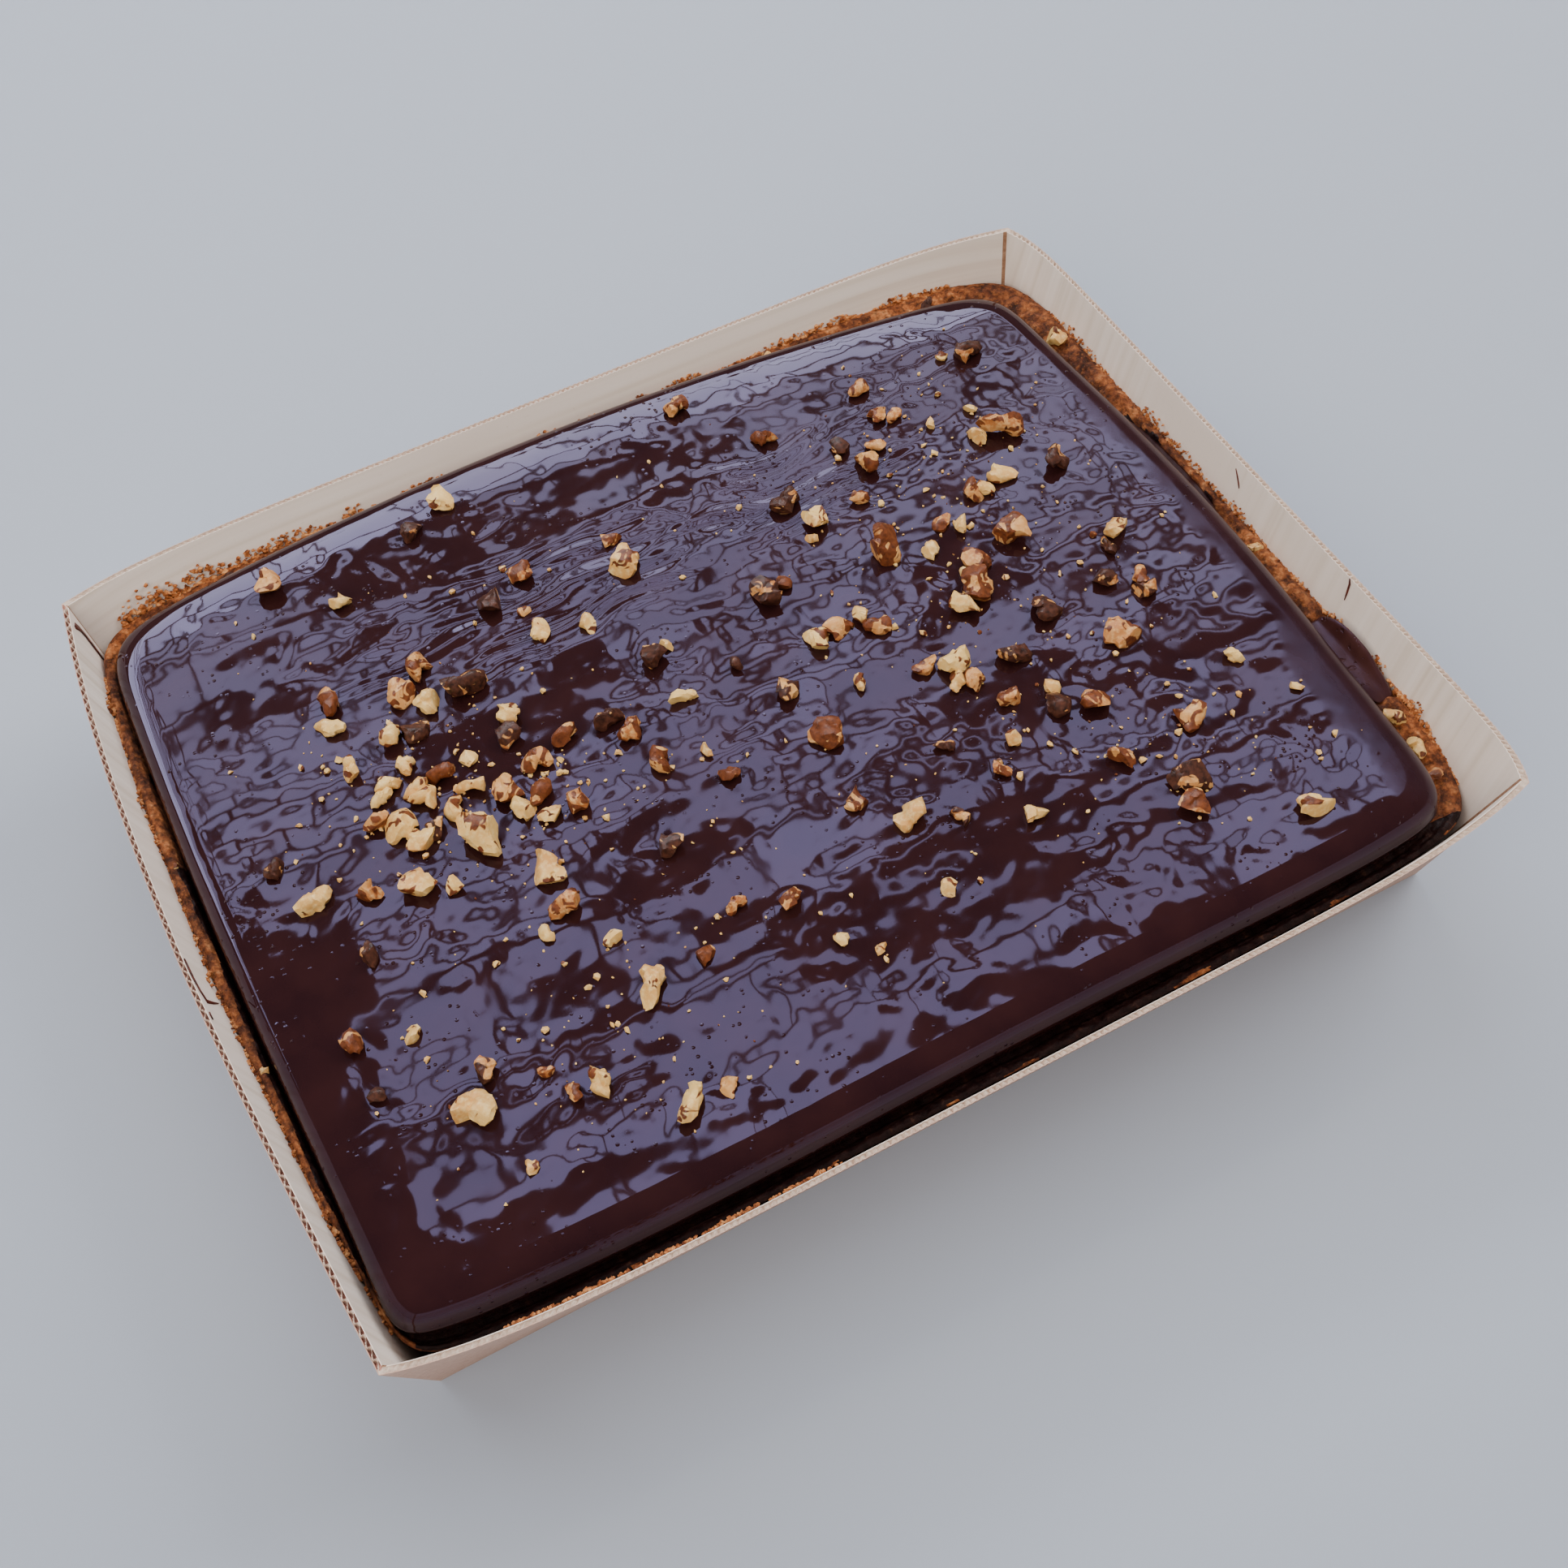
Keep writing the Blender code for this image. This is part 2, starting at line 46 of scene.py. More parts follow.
MM = 0.001

# Tray, as in the solid: a flat base and four flared walls that bow outward
BASE_X = 152.2 * MM
BASE_Y = 113.7 * MM
RIM_X = 161.0 * MM
SHORT_HALF = 128.6
RIM_Y = SHORT_HALF * MM
RIM_Z = 58.2 * MM
BOARD = 1.5 * MM
LINER = BOARD * 1.03
BOW = {
    "front": 6.6 * MM,
    "right": 5.6 * MM,
    "back": 10.6 * MM,
    "left": 7.2 * MM,
}
BOW_POWER = {"front": 6.7, "right": 14.0, "back": 6.7, "left": 3.0}
NEAR_LEFT_POWER = 1.35
FLUTE = 3.3 * MM
SIDES = ("front", "right", "back", "left")

# Sponge and slab, as in the solids
SPONGE_TOP = 36.0 * MM
RIM_RISE = {
    "front": 39.0 * MM,
    "right": 43.0 * MM,
    "back": 43.5 * MM,
    "left": 44.5 * MM,
}
# Where the crust sinks towards a corner: side, which end of it, the share of
# the half side where the slope starts, the share it takes, depth in
# millimetres
CRUST_SINKS = (
    ("left", -1, 0.72, 0.28, 11), ("front", -1, 0.8, 0.2, 5),
    ("right", -1, 0.7, 0.3, 8), ("front", 1, 0.8, 0.2, 4),
)
GAP = 0.3 * MM
SLAB_LEFT = -157.9 * MM
SLAB_RIGHT = 151.8 * MM
SLAB_FRONT = -123.7 * MM
SLAB_BACK = 131.6 * MM
BACK_DROP = 11.5 * MM
BACK_MIDDLE = -15.0 * MM
FOOT_IN = 2.6 * MM
CRUST_WALL = BOARD + GAP + 0.35 * MM
CRUST_FOOT = FOOT_IN - 0.6 * MM
CORE = 0.93
FRONT_DRAW_IN = 2.6 * MM
SLAB_TOP = 52.0 * MM
SHOULDER = 7.0 * MM
SLAB_FACE_IN = 1.5 * MM
# Stations along a long and a short side of each outline
DENSE_X = 60
DENSE_Y = 48
# Rounds of softening at the slab's corners. The near left one is sharper
# here than in the solid
CORNER_ROUNDS = 12
SHARP_ROUNDS = 8
# Puddle that the slab pushed over the crust on the right: middle and half
# length along the wall, and the height of the crust under it
PUDDLE_AT = 0.024
PUDDLE_HALF = 0.028
PUDDLE_BED = 40.0 * MM
LUMP_BED = 39.6 * MM
RIGHT_PART = 0.1
BLOB_AT = (156.5 * MM, -64.0 * MM, 43.4 * MM)
BLOB_HALF = (4.5 * MM, 16.5 * MM, 4.8 * MM)

# Camera, solved from the photo: metres, degrees and the photo's pixels
CAMERA_AT = (-0.1287, -0.3005, 0.4796)
CAMERA_AIM = (0.00857, 0.00473, 0.0)
CAMERA_ROLL = -4.579
FOCAL_PIXELS = 2379.07
PHOTO_WIDTH = 1932
SENSOR = 36.0

# Walnut pieces on the slab, in millimetres: x, y, length, and the kind of
# piece, p for pale kernel, t for tan, d for dark skin
NUTS = """
-104 110 9 t, -89 92 7 p, -61 108 9 d, -48 114 8 p, 32 115 8 t,
48 89 8 t, 83 92 8 t, 114 92 4 p, 121 89 9 d, 84 79 7 t, 89 77 6 t,
67 73 6 d, 76 70 6 t, 71 63 9 t, 96 68 4 p, 110 68 4 p, 105 57 7 p,
42 61 9 d, 114 55 11 t, 47 50 9 p, 63 51 6 t, 42 45 4 p, -38 75 7 t,
-51 69 9 d, -44 63 4 t, -10 75 6 t, -10 64 10 p, -43 53 7 p, -29 50 7 p,
-104 59 9 t, -107 50 9 p, -78 59 10 t, -86 52 9 t, -81 46 8 p,
-71 45 12 d, -94 39 8 p, -88 37 9 d, -108 34 8 p, -62 31 7 p,
-65 24 8 d, -94 29 7 p, -100 24 8 p, -104 21 7 p, -106 14 8 t,
-95 19 8 p, -86 20 8 t, -92 15 8 p, -78 21 5 p, -102 9 10 p,
-99 3 8 p, -95 4 7 d, -88 8 8 p, -80 12 8 p, -74 6 9 t, -85 -4 14 p,
-72 -2 8 p, -65 1 9 t, -65 -6 7 p, -62 12 9 t, -53 15 8 t, -57 -7 8 t,
-38 14 9 d, -35 8 8 t, -18 28 8 d, -13 30 4 p, -16 11 8 p, -33 -5 9 t,
-20 -9 5 p, -17 -19 6 t, -131 -2 10 p, -138 13 6 d, -118 -6 7 t,
-105 -11 10 p, -97 -15 5 p, -124 -23 8 d, -74 -23 10 p, -74 -36 9 t,
-82 -41 5 p, -43 -32 8 d, -68 -50 5 p, -123 -50 5 p, -138 -46 7 t,
-136 -62 5 d, -35 -56 6 t, -22 -62 7 t, -64 -67 12 p, -49 -66 6 t,
-119 -75 8 p, -115 -77 9 p, -111 -68 7 d, -98 -76 4 t, -94 -84 6 t,
-87 -85 9 p, -111 -97 4 p, -69 -101 11 p, -60 -101 6 t, -9 -86 4 p,
15 -78 5 p, -17 -78 4 p, 21 31 9 d, 26 34 5 t, 58 30 13 t, 79 31 6 t,
83 28 7 p, 92 37 8 t, 96 36 7 p, 102 40 9 p, 120 35 9 d, 70 23 6 p,
93 17 11 t, 81 12 8 t, 74 10 5 p, 25 11 8 p, 32 11 8 t, 40 12 8 p,
43 5 8 t, 1 14 5 d, 74 3 11 t, 67 0 9 p, 9 -1 8 d, 28 -9 5 p,
121 3 8 p, 115 -2 7 d, 87 -12 9 d, 108 -12 7 d, 116 -16 8 t,
115 -22 7 d, 11 -18 10 t, 47 -14 8 t, 55 -17 9 p, 51 -23 8 p,
56 -25 8 t, 72 -23 9 d, 61 -34 7 t, 74 -37 5 p, 101 -31 10 t,
7 -44 8 t, 38 -40 6 d, 54 -47 5 p, 71 -44 9 d, 80 -46 8 t, 17 -56 10 p,
47 -55 6 t, 30 -62 6 d, 46 -70 7 p, 77 -67 8 t, 100 -65 10 t,
123 -53 6 p, 131 -70 4 p, 86 -80 12 d, 85 -88 8 t, 111 -104 10 p
"""

# Pieces caught in the crust: side, station, share from wall to slab,
# length in millimetres, kind
RIM_NUTS = (
    ("right", 0.77, 0.45, 8, "p"), ("right", -0.14, 0.45, 5, "p"),
    ("right", -0.71, 0.45, 7, "p"), ("right", -0.79, 0.45, 8, "p"),
    ("right", -0.88, 0.45, 6, "t"), ("left", 0.31, 0.40, 2.6, "p"),
    ("left", -0.31, 0.40, 2.6, "p"), ("back", -0.09, 0.45, 4, "t"),
    ("back", 0.24, 0.45, 4, "d"), ("back", 0.45, 0.45, 4.5, "p"),
    ("back", 0.83, 0.45, 7, "d"), ("back", -0.75, 0.45, 5, "d"),
)

# Crumbs of nut between the pieces: how many, the heaps that most of them
# lie in (x, y and spread) and their sizes, in millimetres
NUT_CRUMBS = 760
HEAPS = (
    (-88, 22, 26), (-70, 0, 22), (62, -20, 26), (80, 20, 24),
    (90, 55, 26), (-75, -70, 26), (95, -70, 22),
)
CRUMB_SIZES = (0.4, 0.5, 0.5, 0.6, 0.7, 0.8, 1.0, 1.4, 2.2)


def srgb(r, g, b):
    """Colour seen as r, g, b of 255, in the shader's own scale."""
    out = []
    for c in (r / 255, g / 255, b / 255):
        out.append(c / 12.92 if c < 0.04045 else ((c + 0.055) / 1.055) ** 2.4)
    return (*out, 1.0)


def mesh_object(name, verts, faces, mat, smooth=True):
    """A linked mesh with its faces all turned outward."""
    mesh = bpy.data.meshes.new(name)
    mesh.from_pydata([tuple(v) for v in verts], [], faces)
    mesh.validate()
    bm = bmesh.new()
    bm.from_mesh(mesh)
    bmesh.ops.recalc_face_normals(bm, faces=bm.faces)
    bm.to_mesh(mesh)
    bm.free()
    mesh.materials.append(mat)
    mesh.polygons.foreach_set("use_smooth", [smooth] * len(mesh.polygons))
    obj = bpy.data.objects.new(name, mesh)
    bpy.context.scene.collection.objects.link(obj)
    return obj


def loft(rings):
    """Vertices and quads of closed rings that all have one length."""
    count = len(rings[0])
    verts = [p for ring in rings for p in ring]
    faces = []
    for r in range(len(rings) - 1):
        a, b = r * count, (r + 1) * count
        for i in range(count):
            j = (i + 1) % count
            faces.append((a + i, a + j, b + j, b + i))
    return verts, faces


def close_ring(verts, faces, first, count, flip=False):
    """Fan from the middle of a ring of vertices."""
    ring = list(range(first, first + count))
    middle = sum((Vector(verts[i]) for i in ring), Vector()) / count
    verts.append(middle)
    m = len(verts) - 1
    for k in range(count):
        a, b = ring[k], ring[(k + 1) % count]
        faces.append((m, b, a) if flip else (m, a, b))


# Node material helpers

class Mat:
    """A Principled material and short calls for its nodes."""

    def __init__(self, name, **values):
        self.mat = bpy.data.materials.new(name)
        self.mat.use_nodes = True
        self.tree = self.mat.node_tree
        self.shader = self.tree.nodes["Principled BSDF"]
        for key, value in values.items():
            self.shader.inputs[key.replace("_", " ")].default_value = value

    def node(self, kind, **sets):
        n = self.tree.nodes.new("ShaderNode" + kind)
        for key, value in sets.items():
            setattr(n, key, value)
        return n

    def link(self, a, b):
        self.tree.links.new(a, b)

    def put(self, socket, value):
        if isinstance(value, bpy.types.NodeSocket):
            self.link(value, socket)
        elif value is not None:
            socket.default_value = value

    def coords(self, scale=(1, 1, 1)):
        pos = self.node("NewGeometry").outputs["Position"]
        if tuple(scale) == (1, 1, 1):
            return pos
        m = self.node("Mapping")
        self.link(pos, m.inputs["Vector"])
        m.inputs["Scale"].default_value = scale
        return m.outputs["Vector"]

    def noise(self, scale, detail=3.0, rough=0.55, at=None, warp=0.0):
        n = self.node("TexNoise")
        self.put(n.inputs["Vector"], at or self.coords())
        n.inputs["Scale"].default_value = scale
        n.inputs["Detail"].default_value = detail
        n.inputs["Roughness"].default_value = rough
        n.inputs["Distortion"].default_value = warp
        return n.outputs["Fac"]

    def ramp(self, value, stops, smooth="LINEAR"):
        n = self.node("ValToRGB")
        n.color_ramp.interpolation = smooth
        elems = n.color_ramp.elements
        while len(elems) > 1:
            elems.remove(elems[0])
        elems[0].position, elems[0].color = stops[0]
        for place, colour in stops[1:]:
            elems.new(place).color = colour
        self.link(value, n.inputs["Fac"])
        return n.outputs["Color"]

    def grey(self, value, low, high, a=0.0, b=1.0):
        n = self.node("MapRange")
        self.link(value, n.inputs["Value"])
        for key, v in zip(("From Min", "From Max", "To Min", "To Max"),
                          (low, high, a, b)):
            n.inputs[key].default_value = v
        return n.outputs["Result"]

    def mix(self, share, a, b):
        n = self.node("Mix", data_type="RGBA")
        self.put(n.inputs[0], share)
        self.put(n.inputs[6], a)
        self.put(n.inputs[7], b)
        return n.outputs[2]

    def math(self, kind, a, b=None):
        n = self.node("Math", operation=kind)
        self.put(n.inputs[0], a)
        self.put(n.inputs[1], b)
        return n.outputs[0]

    def bump(self, height, distance, strength=1.0, under=None):
        n = self.node("Bump")
        n.inputs["Strength"].default_value = strength
        n.inputs["Distance"].default_value = distance
        self.link(height, n.inputs["Height"])
        if under is not None:
            self.link(under, n.inputs["Normal"])
        return n.outputs["Normal"]

    def set(self, key, socket):
        self.link(socket, self.shader.inputs[key])


# Shapes shared by the pieces

def rim_point(side, s, inset=0.0):
    """Distance along a wall, reach outward and height of its rim."""
    near_left = side == "left" and s < 0
    power = NEAR_LEFT_POWER if near_left else BOW_POWER[side]
    bow = BOW[side] * (1.0 - abs(s) ** power)
    if side in ("front", "back"):
        lean = RIM_Y - BASE_Y
        along = s * (RIM_X - inset)
        out = RIM_Y + bow - inset
    else:
        lean = RIM_X - BASE_X
        along = s * (RIM_Y - inset)
        out = RIM_X + bow - inset
    slant = math.hypot(lean, RIM_Z)
    height = math.sqrt(slant ** 2 - (lean + bow) ** 2)
    return along, out, height


def wall_point(side, s, v, inset=0.0):
    """Place on a wall, v from 0 at the base to 1 at the rim."""
    along, out, height = rim_point(side, s, inset)
    if side in ("front", "back"):
        base_along, base_out = s * (BASE_X - inset), BASE_Y - inset
    else:
        base_along, base_out = s * (BASE_Y - inset), BASE_X - inset
    a = base_along + (along - base_along) * v
    o = base_out + (out - base_out) * v
    z = height * v
    if side == "front":
        return Vector((a, -o, z))
    if side == "back":
        return Vector((a, o, z))
    if side == "left":
        return Vector((-o, a, z))
    return Vector((o, a, z))


def wall_at(side, along, z, inset):
    """Place on a wall at a given distance along it and a height."""
    s = along / (RIM_X if side in ("front", "back") else RIM_Y)
    return wall_point(side, s, z / rim_point(side, s)[2], inset)


def soften(points, corners, reach, rounds):
    """Rounds a closed outline near the given corners, in place."""
    near = []
    for i, p in enumerate(points):
        away = min(math.hypot(p.x - c[0], p.y - c[1]) for c in corners)
        if away < reach:
            near.append(i)
    for _ in range(rounds):
        moved = {}
        for i in near:
            a = points[i - 1]
            b = points[(i + 1) % len(points)]
            moved[i] = (a + points[i] * 2 + b) / 4
        for i, p in moved.items():
            points[i] = p
    return points


def dense_stations():
    """Side and place, -1 to 1, of each point of an outline, in turn."""
    stations = []
    for side in SIDES:
        steps = DENSE_X if side in ("front", "back") else DENSE_Y
        for k in range(steps):
            s = -1.0 + 2.0 * k / steps
            if side in ("back", "left"):
                s = -s
            stations.append((side, s))
    return stations


def slab_outline(inset):
    """Outline of the slab seen from above, drawn in by an inset."""
    left = SLAB_LEFT + inset
    right = SLAB_RIGHT - inset
    front = SLAB_FRONT + inset
    half = (right - left) / 2
    mid = (right + left) / 2

    def back_y(x):
        bend = ((x - BACK_MIDDLE) / (140 * MM)) ** 2
        return SLAB_BACK - inset - BACK_DROP * bend

    points = []
    for side, s in dense_stations():
        x = mid + half * s
        if side == "front":
            wave = 0.5 * MM * math.sin(x / (34 * MM) + 0.8)
            wave += FRONT_DRAW_IN * (x / (145 * MM)) ** 6
            points.append(Vector((x, front + wave, 0)))
        elif side == "back":
            points.append(Vector((x, back_y(x), 0)))
        else:
            edge = left if side == "left" else right
            low, high = front, back_y(edge)
            y = low + (high - low) * (s + 1) / 2
            if side == "left":
                belly = -1.3 * MM * math.cos((y - 15 * MM) / (46 * MM))
            else:
                belly = 3.2 * MM * math.cos(y / (46 * MM))
            points.append(Vector((edge + belly, y, 0)))
    corners = (
        (right, front), (left, back_y(left)), (right, back_y(right)),
    )
    points = soften(points, corners, 26 * MM, CORNER_ROUNDS)
    return soften(points, ((left, front),), 16 * MM, SHARP_ROUNDS)


def wall_outline(height, inset):
    """Outline inside the walls at the height given for each station."""
    points = []
    for (side, s), z in zip(dense_stations(), height):
        rim_z = rim_point(side, s)[2]
        p = wall_point(side, s, z / rim_z)
        if side in ("front", "back"):
            reach = BASE_X + (RIM_X - BASE_X) * z / rim_z
            p.x *= (reach - inset) / reach
            p.y -= math.copysign(inset, p.y)
        else:
            reach = BASE_Y + (RIM_Y - BASE_Y) * z / rim_z
            p.y *= (reach - inset) / reach
            p.x -= math.copysign(inset, p.x)
        points.append(p)
    corners = [
        (sx * x, sy * y) for x, y in ((BASE_X, BASE_Y), (RIM_X, RIM_Y))
        for sx in (-1, 1) for sy in (-1, 1)
    ]
    return soften(points, corners, 14 * MM, 5)


def crust_heights():
    """Height of the crust's top at each station along the walls."""
    heights = []
    for side, s in dense_stations():
        z = RIM_RISE[side]
        for name, end, start, span, depth in CRUST_SINKS:
            if side == name and end * s > start:
                z -= depth * MM * (end * s - start) / span
        heights.append(z)
    count = len(heights)
    smooth = []
    for i in range(count):
        span = [heights[(i + d) % count] for d in range(-4, 5)]
        smooth.append(sum(span) / len(span))
    return smooth


def refine(ring, times):
    """The same closed ring with more points, by a smooth curve."""
    count = len(ring)
    out = []
    for i in range(count):
        p0, p1 = Vector(ring[i - 1]), Vector(ring[i])
        p2, p3 = Vector(ring[(i + 1) % count]), Vector(ring[(i + 2) % count])
        for k in range(times):
            t = k / times
            out.append(0.5 * (
                2 * p1 + (p2 - p0) * t
                + (2 * p0 - 5 * p1 + 4 * p2 - p3) * t * t
                + (3 * p1 - p0 - 3 * p2 + p3) * t ** 3
            ))
    return out


def moat(height):
    """Height of the sponge beside the slab, for a crust of some height."""
    return min(SPONGE_TOP, height - 1.0 * MM)


def n3(x, y, z):
    return noise.noise(Vector((x, y, z)))


# Camera and light

def make_camera():
    data = bpy.data.cameras.new("camera")
    data.sensor_width = SENSOR
    data.lens = FOCAL_PIXELS / PHOTO_WIDTH * SENSOR
    data.clip_start, data.clip_end = 0.01, 50.0
    cam = bpy.data.objects.new("camera", data)
    bpy.context.scene.collection.objects.link(cam)
    place = Vector(CAMERA_AT)
    target = Vector(CAMERA_AIM)
    roll = math.radians(CAMERA_ROLL)
    ahead = (target - place).normalized()
    right = ahead.cross(Vector((0, 0, 1))).normalized()
    up = right.cross(ahead)
    rr = right * math.cos(roll) + up * math.sin(roll)
    uu = -right * math.sin(roll) + up * math.cos(roll)
    turn = Matrix((rr, uu, -ahead)).transposed()
    cam.matrix_world = Matrix.Translation(place) @ turn.to_4x4()
    bpy.context.scene.camera = cam


def lamp(name, at, size, radiance, colour):
    """A rectangular light facing down, out of the camera's sight."""
    data = bpy.data.lights.new(name, "AREA")
    data.shape = "RECTANGLE"
    data.size, data.size_y = size
    data.energy = radiance * math.pi * data.size * data.size_y
    data.color = colour
    obj = bpy.data.objects.new(name, data)
    obj.location = at
    obj.visible_camera = False
    bpy.context.scene.collection.objects.link(obj)
    return obj


def soft_light(name, at, size, radiance, colour):
    """A light aimed at the cake that does not show in its gloss."""
    obj = lamp(name, at, size, radiance, colour)
    obj.rotation_euler = (-Vector(at)).to_track_quat("-Z", "Y").to_euler()
    obj.visible_glossy = False


# Panels over the back of the cake, seen in the gloss of its top. They lie on
# a level plane and are listed by where a flat top would show them, in
# millimetres: y from, y to, and the lit spans of x. The gaps show as dark
# bands. PANEL_REACH is how much farther from the eye a panel lies than the
# place on the slab that shows it.
PANEL_Z = 1.5
PANEL_REACH = 4.386
PANEL_CUT = (0.008, 0.008, 0.012, 0.022)
PANEL_SPAN = 31.0
PANEL_BRIGHT = (3.6, 4.8)
PANEL_COLOUR = (0.92, 0.94, 1.0)
# Spans that start beyond this stay whole, and rows beyond this are brighter
WHOLE_FROM = -300
FAR_ROWS = 120
FAR_LIFT = 1.8
PANELS = (
    (-112, -97, ((-137, 146),)),
    (-97, -83, ((-144, 146),)),
    (-82, -76, ((-139, -75), (-62, -28))),
    (-76, -68, ((-147, -20), (0, 30), (60, 146))),
    (-68, -60, ((-141, -96), (-70, -48), (-12, 8), (45, 146))),
    (-60, -43, ((-137, 98),)),
    (-43, -36, ((-142, -120), (-30, 62), (110, 150))),
    (-36, -27, ((-131, -62), (-20, 42), (82, 150))),
    (-27, -15, ((-127, 150),)),
    (-15, -3, ((-131, 150),)),
    (-3, 8, ((-152, 54), (88, 150))),
    (8, 18, ((-230, -80), (-60, 57), (86, 150))),
    (18, 28, ((-230, -100), (-44, 70), (80, 160))),
    (29, 42, ((-230, -92), (-66, -48), (-28, 160))),
    (42, 54, ((-230, 160),)),
    (54, 66, ((-230, 160),)),
    (67, 75, ((-230, -142), (-110, -70), (-50, 110), (125, 160))),
    (75, 90, ((-600, -232), (-230, 165))),
    (90, 98, ((-600, -242), (-240, -108), (-45, -25), (48, 170))),
    (98, 106, ((-600, -242), (-240, -95), (-70, -60), (30, 170))),
    (106, 122, ((-600, -242), (-240, -80), (-45, 170))),
    (124, 150, ((-600, -252), (-250, 180))),
    (152, 300, ((-600, -262), (-260, 190))),
)


def seen_from(value, eye):
    """Where on the panel plane a level mirror shows a place on the slab."""
    return eye + PANEL_REACH * (value * MM - eye)


def panel_cuts(row, left, right):
    """Where a lit span is cut into panels of uneven width."""
    count = max(1, round((right - left) / PANEL_SPAN))
    if left < WHOLE_FROM:
        count = 1
    cuts = [left]
    for k in range(1, count):
        shift = 0.3 * math.sin(2.3 * row + 1.7 * k)
        cuts.append(left + (right - left) * (k + shift) / count)
    return cuts + [right]


def make_panels():
    eye_x, eye_y, _ = CAMERA_AT
    rng = random.Random(5)
    for row, (low, high, spans) in enumerate(PANELS):
        y0, y1 = seen_from(low, eye_y), seen_from(high, eye_y)
        lift = FAR_LIFT if low > FAR_ROWS else 1.0
        for part, (left, right) in enumerate(spans):
            cuts = panel_cuts(row, left, right)
            for k, (a, b) in enumerate(zip(cuts, cuts[1:])):
                x0, x1 = seen_from(a, eye_x), seen_from(b, eye_x)
                size = (x1 - x0 - rng.choice(PANEL_CUT),
                        y1 - y0 - rng.choice(PANEL_CUT))
                middle = ((x0 + x1) / 2, (y0 + y1) / 2, PANEL_Z)
                bright = rng.uniform(*PANEL_BRIGHT) * lift
                lamp(f"panel_{row}_{part}_{k}", middle, size, bright,
                     PANEL_COLOUR)


def make_lights():
    make_panels()
    soft_light("fill", (-1.5, -1.3, 1.7), (2.2, 2.2), 4.4, (1.0, 0.93, 0.85))
    soft_light("side", (1.9, 0.3, 1.5), (1.4, 1.4), 7.4, (1.0, 0.97, 0.96))
    soft_light("soft", (0.2, 0.2, 2.4), (3.2, 3.2), 1.0, (0.97, 0.97, 1.0))
    world = bpy.data.worlds.new("room")
    bpy.context.scene.world = world
    world.use_nodes = True
    back = world.node_tree.nodes["Background"]
    back.inputs["Color"].default_value = (0.96, 0.94, 0.96, 1.0)
    back.inputs["Strength"].default_value = 0.13


def make_floor():
    m = Mat("floor", Roughness=0.6)
    m.shader.inputs["Base Color"].default_value = (0.365, 0.405, 0.475, 1)
    half = 4.0
    verts = [(-half, -half, 0), (half, -half, 0), (half, half, 0),
             (-half, half, 0)]
    floor = mesh_object("floor", verts, [(0, 1, 2, 3)], m.mat)


# Tray

def board_material():
    m = Mat("board", Roughness=0.75)
    normal = m.node("NewGeometry").outputs["Normal"]
    split = m.node("SeparateXYZ")
    m.link(normal, split.inputs[0])
    short = m.math("GREATER_THAN", m.math("ABSOLUTE", split.outputs[0]),
                   m.math("ABSOLUTE", split.outputs[1]))
    along_z = m.noise(1.0, 2.0, 0.5, m.coords((2, 2, 330)))
    along_y = m.noise(1.0, 2.0, 0.5, m.coords((2, 330, 2)))
    bands = m.mix(short, along_z, along_y)
    broad = m.noise(14.0, 2.0)
    fibre = m.noise(900.0, 4.0, 0.7)
    base = m.ramp(bands, [
        (0.30, srgb(206, 188, 170)), (0.48, srgb(227, 213, 200)),
        (0.72, srgb(240, 230, 220))])
    warm = m.mix(m.grey(broad, 0.3, 0.7), base, srgb(224, 208, 196))
    speck = m.mix(m.grey(fibre, 0.62, 0.8, 0.0, 0.35), warm,
                  srgb(176, 150, 128))
    m.set("Base Color", speck)
    m.set("Normal", m.bump(bands, 0.00012, 0.5,
                           m.bump(fibre, 0.00005, 0.4)))
    return m.mat


def fibre_material(name, low, mid, high):
    m = Mat(name, Roughness=0.85)
    fibre = m.noise(700.0, 4.0, 0.7)
    m.set("Base Color", m.ramp(fibre, [
        (0.3, srgb(*low)), (0.55, srgb(*mid)), (0.8, srgb(*high))]))
    m.set("Normal", m.bump(fibre, 0.0001, 0.5))
    return m.mat


# Rings of the tray: up the inside, across the cut edge from the inner liner
# to the outer one, and down the outside
LINER_UP = (0.03, 0.35, 0.6, 0.72, 0.8, 0.88, 0.94, 0.98)
ACROSS = (0.0, 0.12, 0.2, 0.32, 0.44, 0.56, 0.68, 0.8, 0.88, 1.0)
OUTER_DOWN = (0.985, 0.93, 0.8, 0.6, 0.4, 0.2, 0.05, 0.0)
LINERS = (0.12, 0.88)
TOOTH = 1.7 * MM
HOLLOW = 1.0 * MM
CREASE_FROM = 0.9955
# Looks of the board after the inner face's: name, then its darkest, middle
# and lightest colour
BOARD_LOOKS = (
    ("board_edge", (176, 150, 132), (206, 186, 170), (226, 212, 198)),
    ("board_flute", (138, 84, 70), (178, 128, 112), (204, 162, 148)),
    # outside face: the liner's own pinkish cream, darkened into tan as painted
    # shade for the outside, which stands in shadow
    ("board_outside", (186, 148, 130), (204, 170, 152), (216, 188, 170)),
    # darker strip down each inner corner: painted shade for the slit where the
    # walls meet
    ("board_corner_shade", (128, 92, 68), (156, 118, 92), (182, 148, 124)),
)
CUT_EDGE, OPEN_FLUTE, OUTSIDE, CORNER_SHADE = 1, 2, 3, 4


def edge_drop(side, along, share):
    """How far the cut edge lies under the rim, across the thickness."""
    if side == "left":
        phase = 2 * math.pi * along / FLUTE
        wave = 0.5 + 0.30 * math.sin(phase)
        if share <= LINERS[0]:
            return 0.05 * MM
        if share >= LINERS[1]:
            return 0.7 * MM * (0.5 - 0.5 * math.cos(phase + 1.6))
        return 0.2 * MM if abs(share - wave) < 0.17 else 1.5 * MM
    tooth = abs((along / TOOTH) % 1.0 - 0.5) * 2
    saw = 0.35 * MM * tooth
    if share <= LINERS[0] or share >= LINERS[1]:
        return saw
    return saw + (0.7 * MM if tooth > 0.5 else 0.2 * MM)


